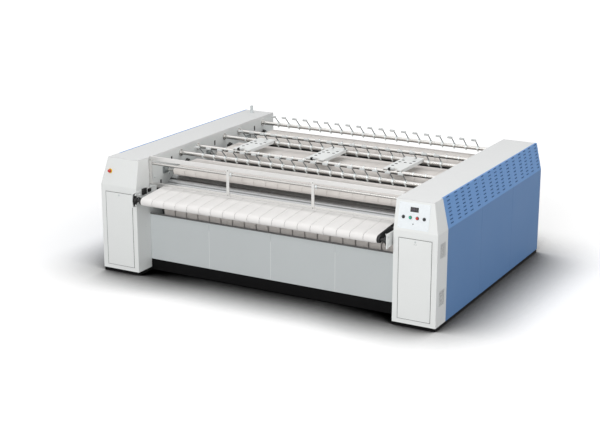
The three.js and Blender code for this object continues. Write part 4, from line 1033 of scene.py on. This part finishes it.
# Emergency stop on the left column's leaning face
stopAt = onControlFace(-1, -140.5, 178)
collar = Shape().lathe([(11.3, 0.3), (29, 0.3), (29, 4), (26, 8.5), (21.6, 8.5), (20.9, 3), (11.3, 3)], 44,
                       stopAt, True)
collar.piece("emergency_stop_collar", yellowPlastic)
mushroom = Shape().lathe([(0, -26), (10, -26), (11, -25), (11, 10), (18.5, 10), (20, 13), (20, 27), (18, 32.5),
                          (13, 35.4), (6, 36), (0, 36)], 44, stopAt)
mushroom.piece("emergency_stop_head", redPlastic, "emergency_stop_button", "emergency_stop_button", sharp=60)
print("controls made")

# Door locks with a square key recess and the cam behind, rivets under the right one
lockLook = {"x": 2011, "z": 1011, "rivetZ": 982}
for end, side in ends.items():
    at = toFront(side * lockLook["x"], shell["front"], lockLook["z"])
    lock = Shape().lathe([(0, -30), (8, -30), (8, 0.2), (13, 0.2), (13, 2), (12, 3), (6.5, 3), (6.5, -4), (0, -4)],
                         36, at)
    lock.box((-3.4, 3.4), (-3.4, 3.4), (-5, 1.5), at)
    lock.box(span(side, -6, 31), (-6, 6), (-29, -26), at)
    lock.piece(f"{end}_door_lock_barrel", zinc, f"{end}_door_lock", f"{end}_door_lock", bevel=0.5)
rivets = [((lockLook["x"] + dx, shell["front"], lockLook["rivetZ"]), (0, -1, 0)) for dx in (-14, 0, 14)]
fastened("door_rivets", screwHead(3, 1.4), rivets, blackPlastic, "right_door")

beacon = Shape().lathe([(0, 1470.3), (25, 1470.3), (25, 1476), (22.5, 1477), (22.5, 1566), (23.5, 1568),
                        (23.5, 1574), (21, 1577), (0, 1577)], 48, upright(-2005, 1514))
beacon.piece("beacon_tube", beaconShell, "frame", "beacon_stub")

# Roller chain round the three sprockets, with two plates and a bush for each link
chainLook = {"radius": 125.3, "pitch": 38.1, "x": 1829}
chainLoop = roundLoop((rollAxes[0], rollZ), (rollAxes[2], rollZ), chainLook["radius"], 32)
circuit = tau * chainLook["radius"] + 2 * (rollAxes[2] - rollAxes[0])
linkCount = int(circuit / chainLook["pitch"] / 2) * 2
halfPitch = circuit / linkCount / 2
plate = arc((0, halfPitch), 6.6, 0, 180, 5) + arc((0, -halfPitch), 6.6, 180, 360, 5)
turned = Matrix.Rotation(quarter, 4, "Y")
link = Shape().prism(plate, -7.6, -5.6, turned).prism(plate, 5.6, 7.6, turned)
link.rod(5.2, -6, 6, 10, turned @ upright(0, halfPitch))
chain = alongLoop.bake("drive_chain_links", loopHolder("chain_loop", chainLoop, chainLook["x"]),
                       Template=link.template("Link"), Count=linkCount, Material=chainSteel)
settle(chain, "frame", "cast_black", "drive_chain")

# Gear motor: cast housing, finned motor with its fan cover and terminal box, torque arm to the wall
gear = {"x": (1871, 2001), "y": (-977, -767), "z": (540.7, 930.7), "motorX": 1936, "motorZ": 640.7, "fins": 30}
Shape().box(gear["x"], gear["y"], gear["z"]).piece("gearbox_housing", motorPaint, "frame", "gear_motor", bevel=9)
hub = Shape()
for low, high in ((1866, 1871.5), (2000.5, 2006)):
    hub.ring(55.6, 82, low, high, 40, alongX(rollAxes[0], rollZ))
hub.box((1757.3, 1872), (-902, -842), (540.7, 580.7))
hub.piece("gearbox_hubs", motorPaint, bevel=2)
toBack = upright(gear["motorX"], 0, gear["motorZ"]) @ Matrix.Rotation(-quarter, 4, "X")
motor = Shape().lathe([(0, -768), (89, -768), (89, -750), (80, -742), (0, -742)], 48, toBack)
motor.prism(toothed(gear["fins"], ((0.12, 74), (0.38, 88), (0.62, 88), (0.88, 74))), -744, -560, toBack)
motor.lathe([(0, -563), (86, -563), (89, -558), (89, -500), (80, -468), (0, -468)], 48, toBack)
motor.box((gear["motorX"] - 45, gear["motorX"] + 45), (-715, -615), (gear["motorZ"] + 70, gear["motorZ"] + 89.5))
motor.piece("motor_body", motorPaint, bevel=1.2)
caps = [((x, y, z), (side, 0, 0)) for side, x in zip(bothSides, gear["x"]) for y in (-960, -784)
        for z in (560, 735, 912)]
fastened("gearbox_bolts", hexHead(8, 6), caps)
print("drive made")

# Camera, floor, white surroundings and three soft lamps
view = {"place": (7.6818, -14.4427, 5.3927), "tilt": quarter - 0.2804, "turn": 0.5068, "lens": 79.8}
cameraData = bpy.data.cameras.new("Camera")
cameraData.lens = view["lens"]
cameraData.clip_end = 200
camera = added("Camera", cameraData)
camera.location = view["place"]
camera.rotation_euler = (view["tilt"], 0, view["turn"])
scene.camera = camera

# The floor is shaded near the machine and glows white far away, for the camera and for gloss alone
floorLook = {"half": 60, "seen": 0.95, "bounce": 0.55, "glow": 0.24, "farGlow": 0.8, "from": 3.5, "to": 11.0,
             "shade": 1.5, "shadeReach": 1.05, "closest": 0.42, "open": 0.98}
half = floorLook["half"]
floorData = bpy.data.meshes.new("floor")
floorData.from_pydata([(-half, -half, 0), (half, -half, 0), (half, half, 0), (-half, half, 0)], [], [(0, 1, 2, 3)])
floor = added("floor", floorData)
floorPaint = bpy.data.materials.new("Studio floor")
floorPaint.use_nodes = True
floorNodes = Nodes(floorPaint.node_tree)
shader = floorNodes.tree.nodes["Principled BSDF"]
shader.inputs["Roughness"].default_value = 0.95
shader.inputs["Specular IOR Level"].default_value = 0.0
seen, glossy = [floorNodes.node("ShaderNodeLightPath", {}, {}, n) for n in (0, 3)]
pale, dim = [(floorLook[key],) * 3 + (1,) for key in ("seen", "bounce")]
near = floorNodes.node("ShaderNodeAmbientOcclusion", {"samples": 16}, {"Distance": floorLook["shadeReach"]}, 1)
near = ((near - floorLook["closest"]) * (1 / (floorLook["open"] - floorLook["closest"]))).kept()
near = near.sum("POWER", near, floorLook["shade"])
shown = floorNodes.shade(near, (0, 0, 0, 1), pale)
floorNodes.tree.links.new(floorNodes.shade(seen, dim, shown).socket, shader.inputs["Base Color"])
spot = floorNodes.node("ShaderNodeTexCoord", {}, {}, 3)
away = floorNodes.node("ShaderNodeVectorMath", {"operation": "LENGTH"}, {0: spot}, 1)
reach = ((away - floorLook["from"]) / (floorLook["to"] - floorLook["from"])).kept()
strength = reach * (floorLook["farGlow"] - floorLook["glow"]) + floorLook["glow"]
strength = strength * near * seen.sum("MAXIMUM", seen, glossy)
glow = floorNodes.node("ShaderNodeEmission", {}, {"Strength": strength})
both = floorNodes.node("ShaderNodeAddShader", {}, {0: Value(floorNodes, shader.outputs[0]), 1: glow})
floorNodes.tree.links.new(both.socket, floorNodes.tree.nodes["Material Output"].inputs[0])
floorData.materials.append(floorPaint)

# White to the camera, gloss and glass, and a weaker fill for everything else
worldLook = {"fill": 0.38}
world = bpy.data.worlds.new("Studio")
scene.world = world
world.use_nodes = True
sky = Nodes(world.node_tree)
paths = [sky.node("ShaderNodeLightPath", {}, {}, n) for n in (0, 3, 6)]
plain = paths[0].sum("MAXIMUM", paths[0], paths[1].sum("MAXIMUM", paths[1], paths[2]))
background = world.node_tree.nodes["Background"]
background.inputs["Color"].default_value = (1, 1, 1, 1)
power = plain * (1 - worldLook["fill"]) + worldLook["fill"]
world.node_tree.links.new(power.socket, background.inputs["Strength"])

lamps = {"Overhead softbox": {"place": (-1, -1, 9), "target": (-1, 0, 0), "size": (14, 14), "power": 400},
         "Front softbox": {"place": (1.5, -12, 5.5), "target": (0.5, 0, 0.8), "size": (9, 5), "power": 690},
         "Side softbox": {"place": (9, 2, 8), "target": (0, 0, 0.8), "size": (6, 6), "power": 230}}
for name, look in lamps.items():
    data = bpy.data.lights.new(name, "AREA")
    data.shape = "RECTANGLE"
    data.size, data.size_y = look["size"]
    data.energy = look["power"]
    lamp = added(name, data)
    lamp.location = look["place"]
    aimed = Vector(look["target"]) - Vector(look["place"])
    lamp.rotation_euler = aimed.to_track_quat("-Z", "Y").to_euler()
print("studio made")
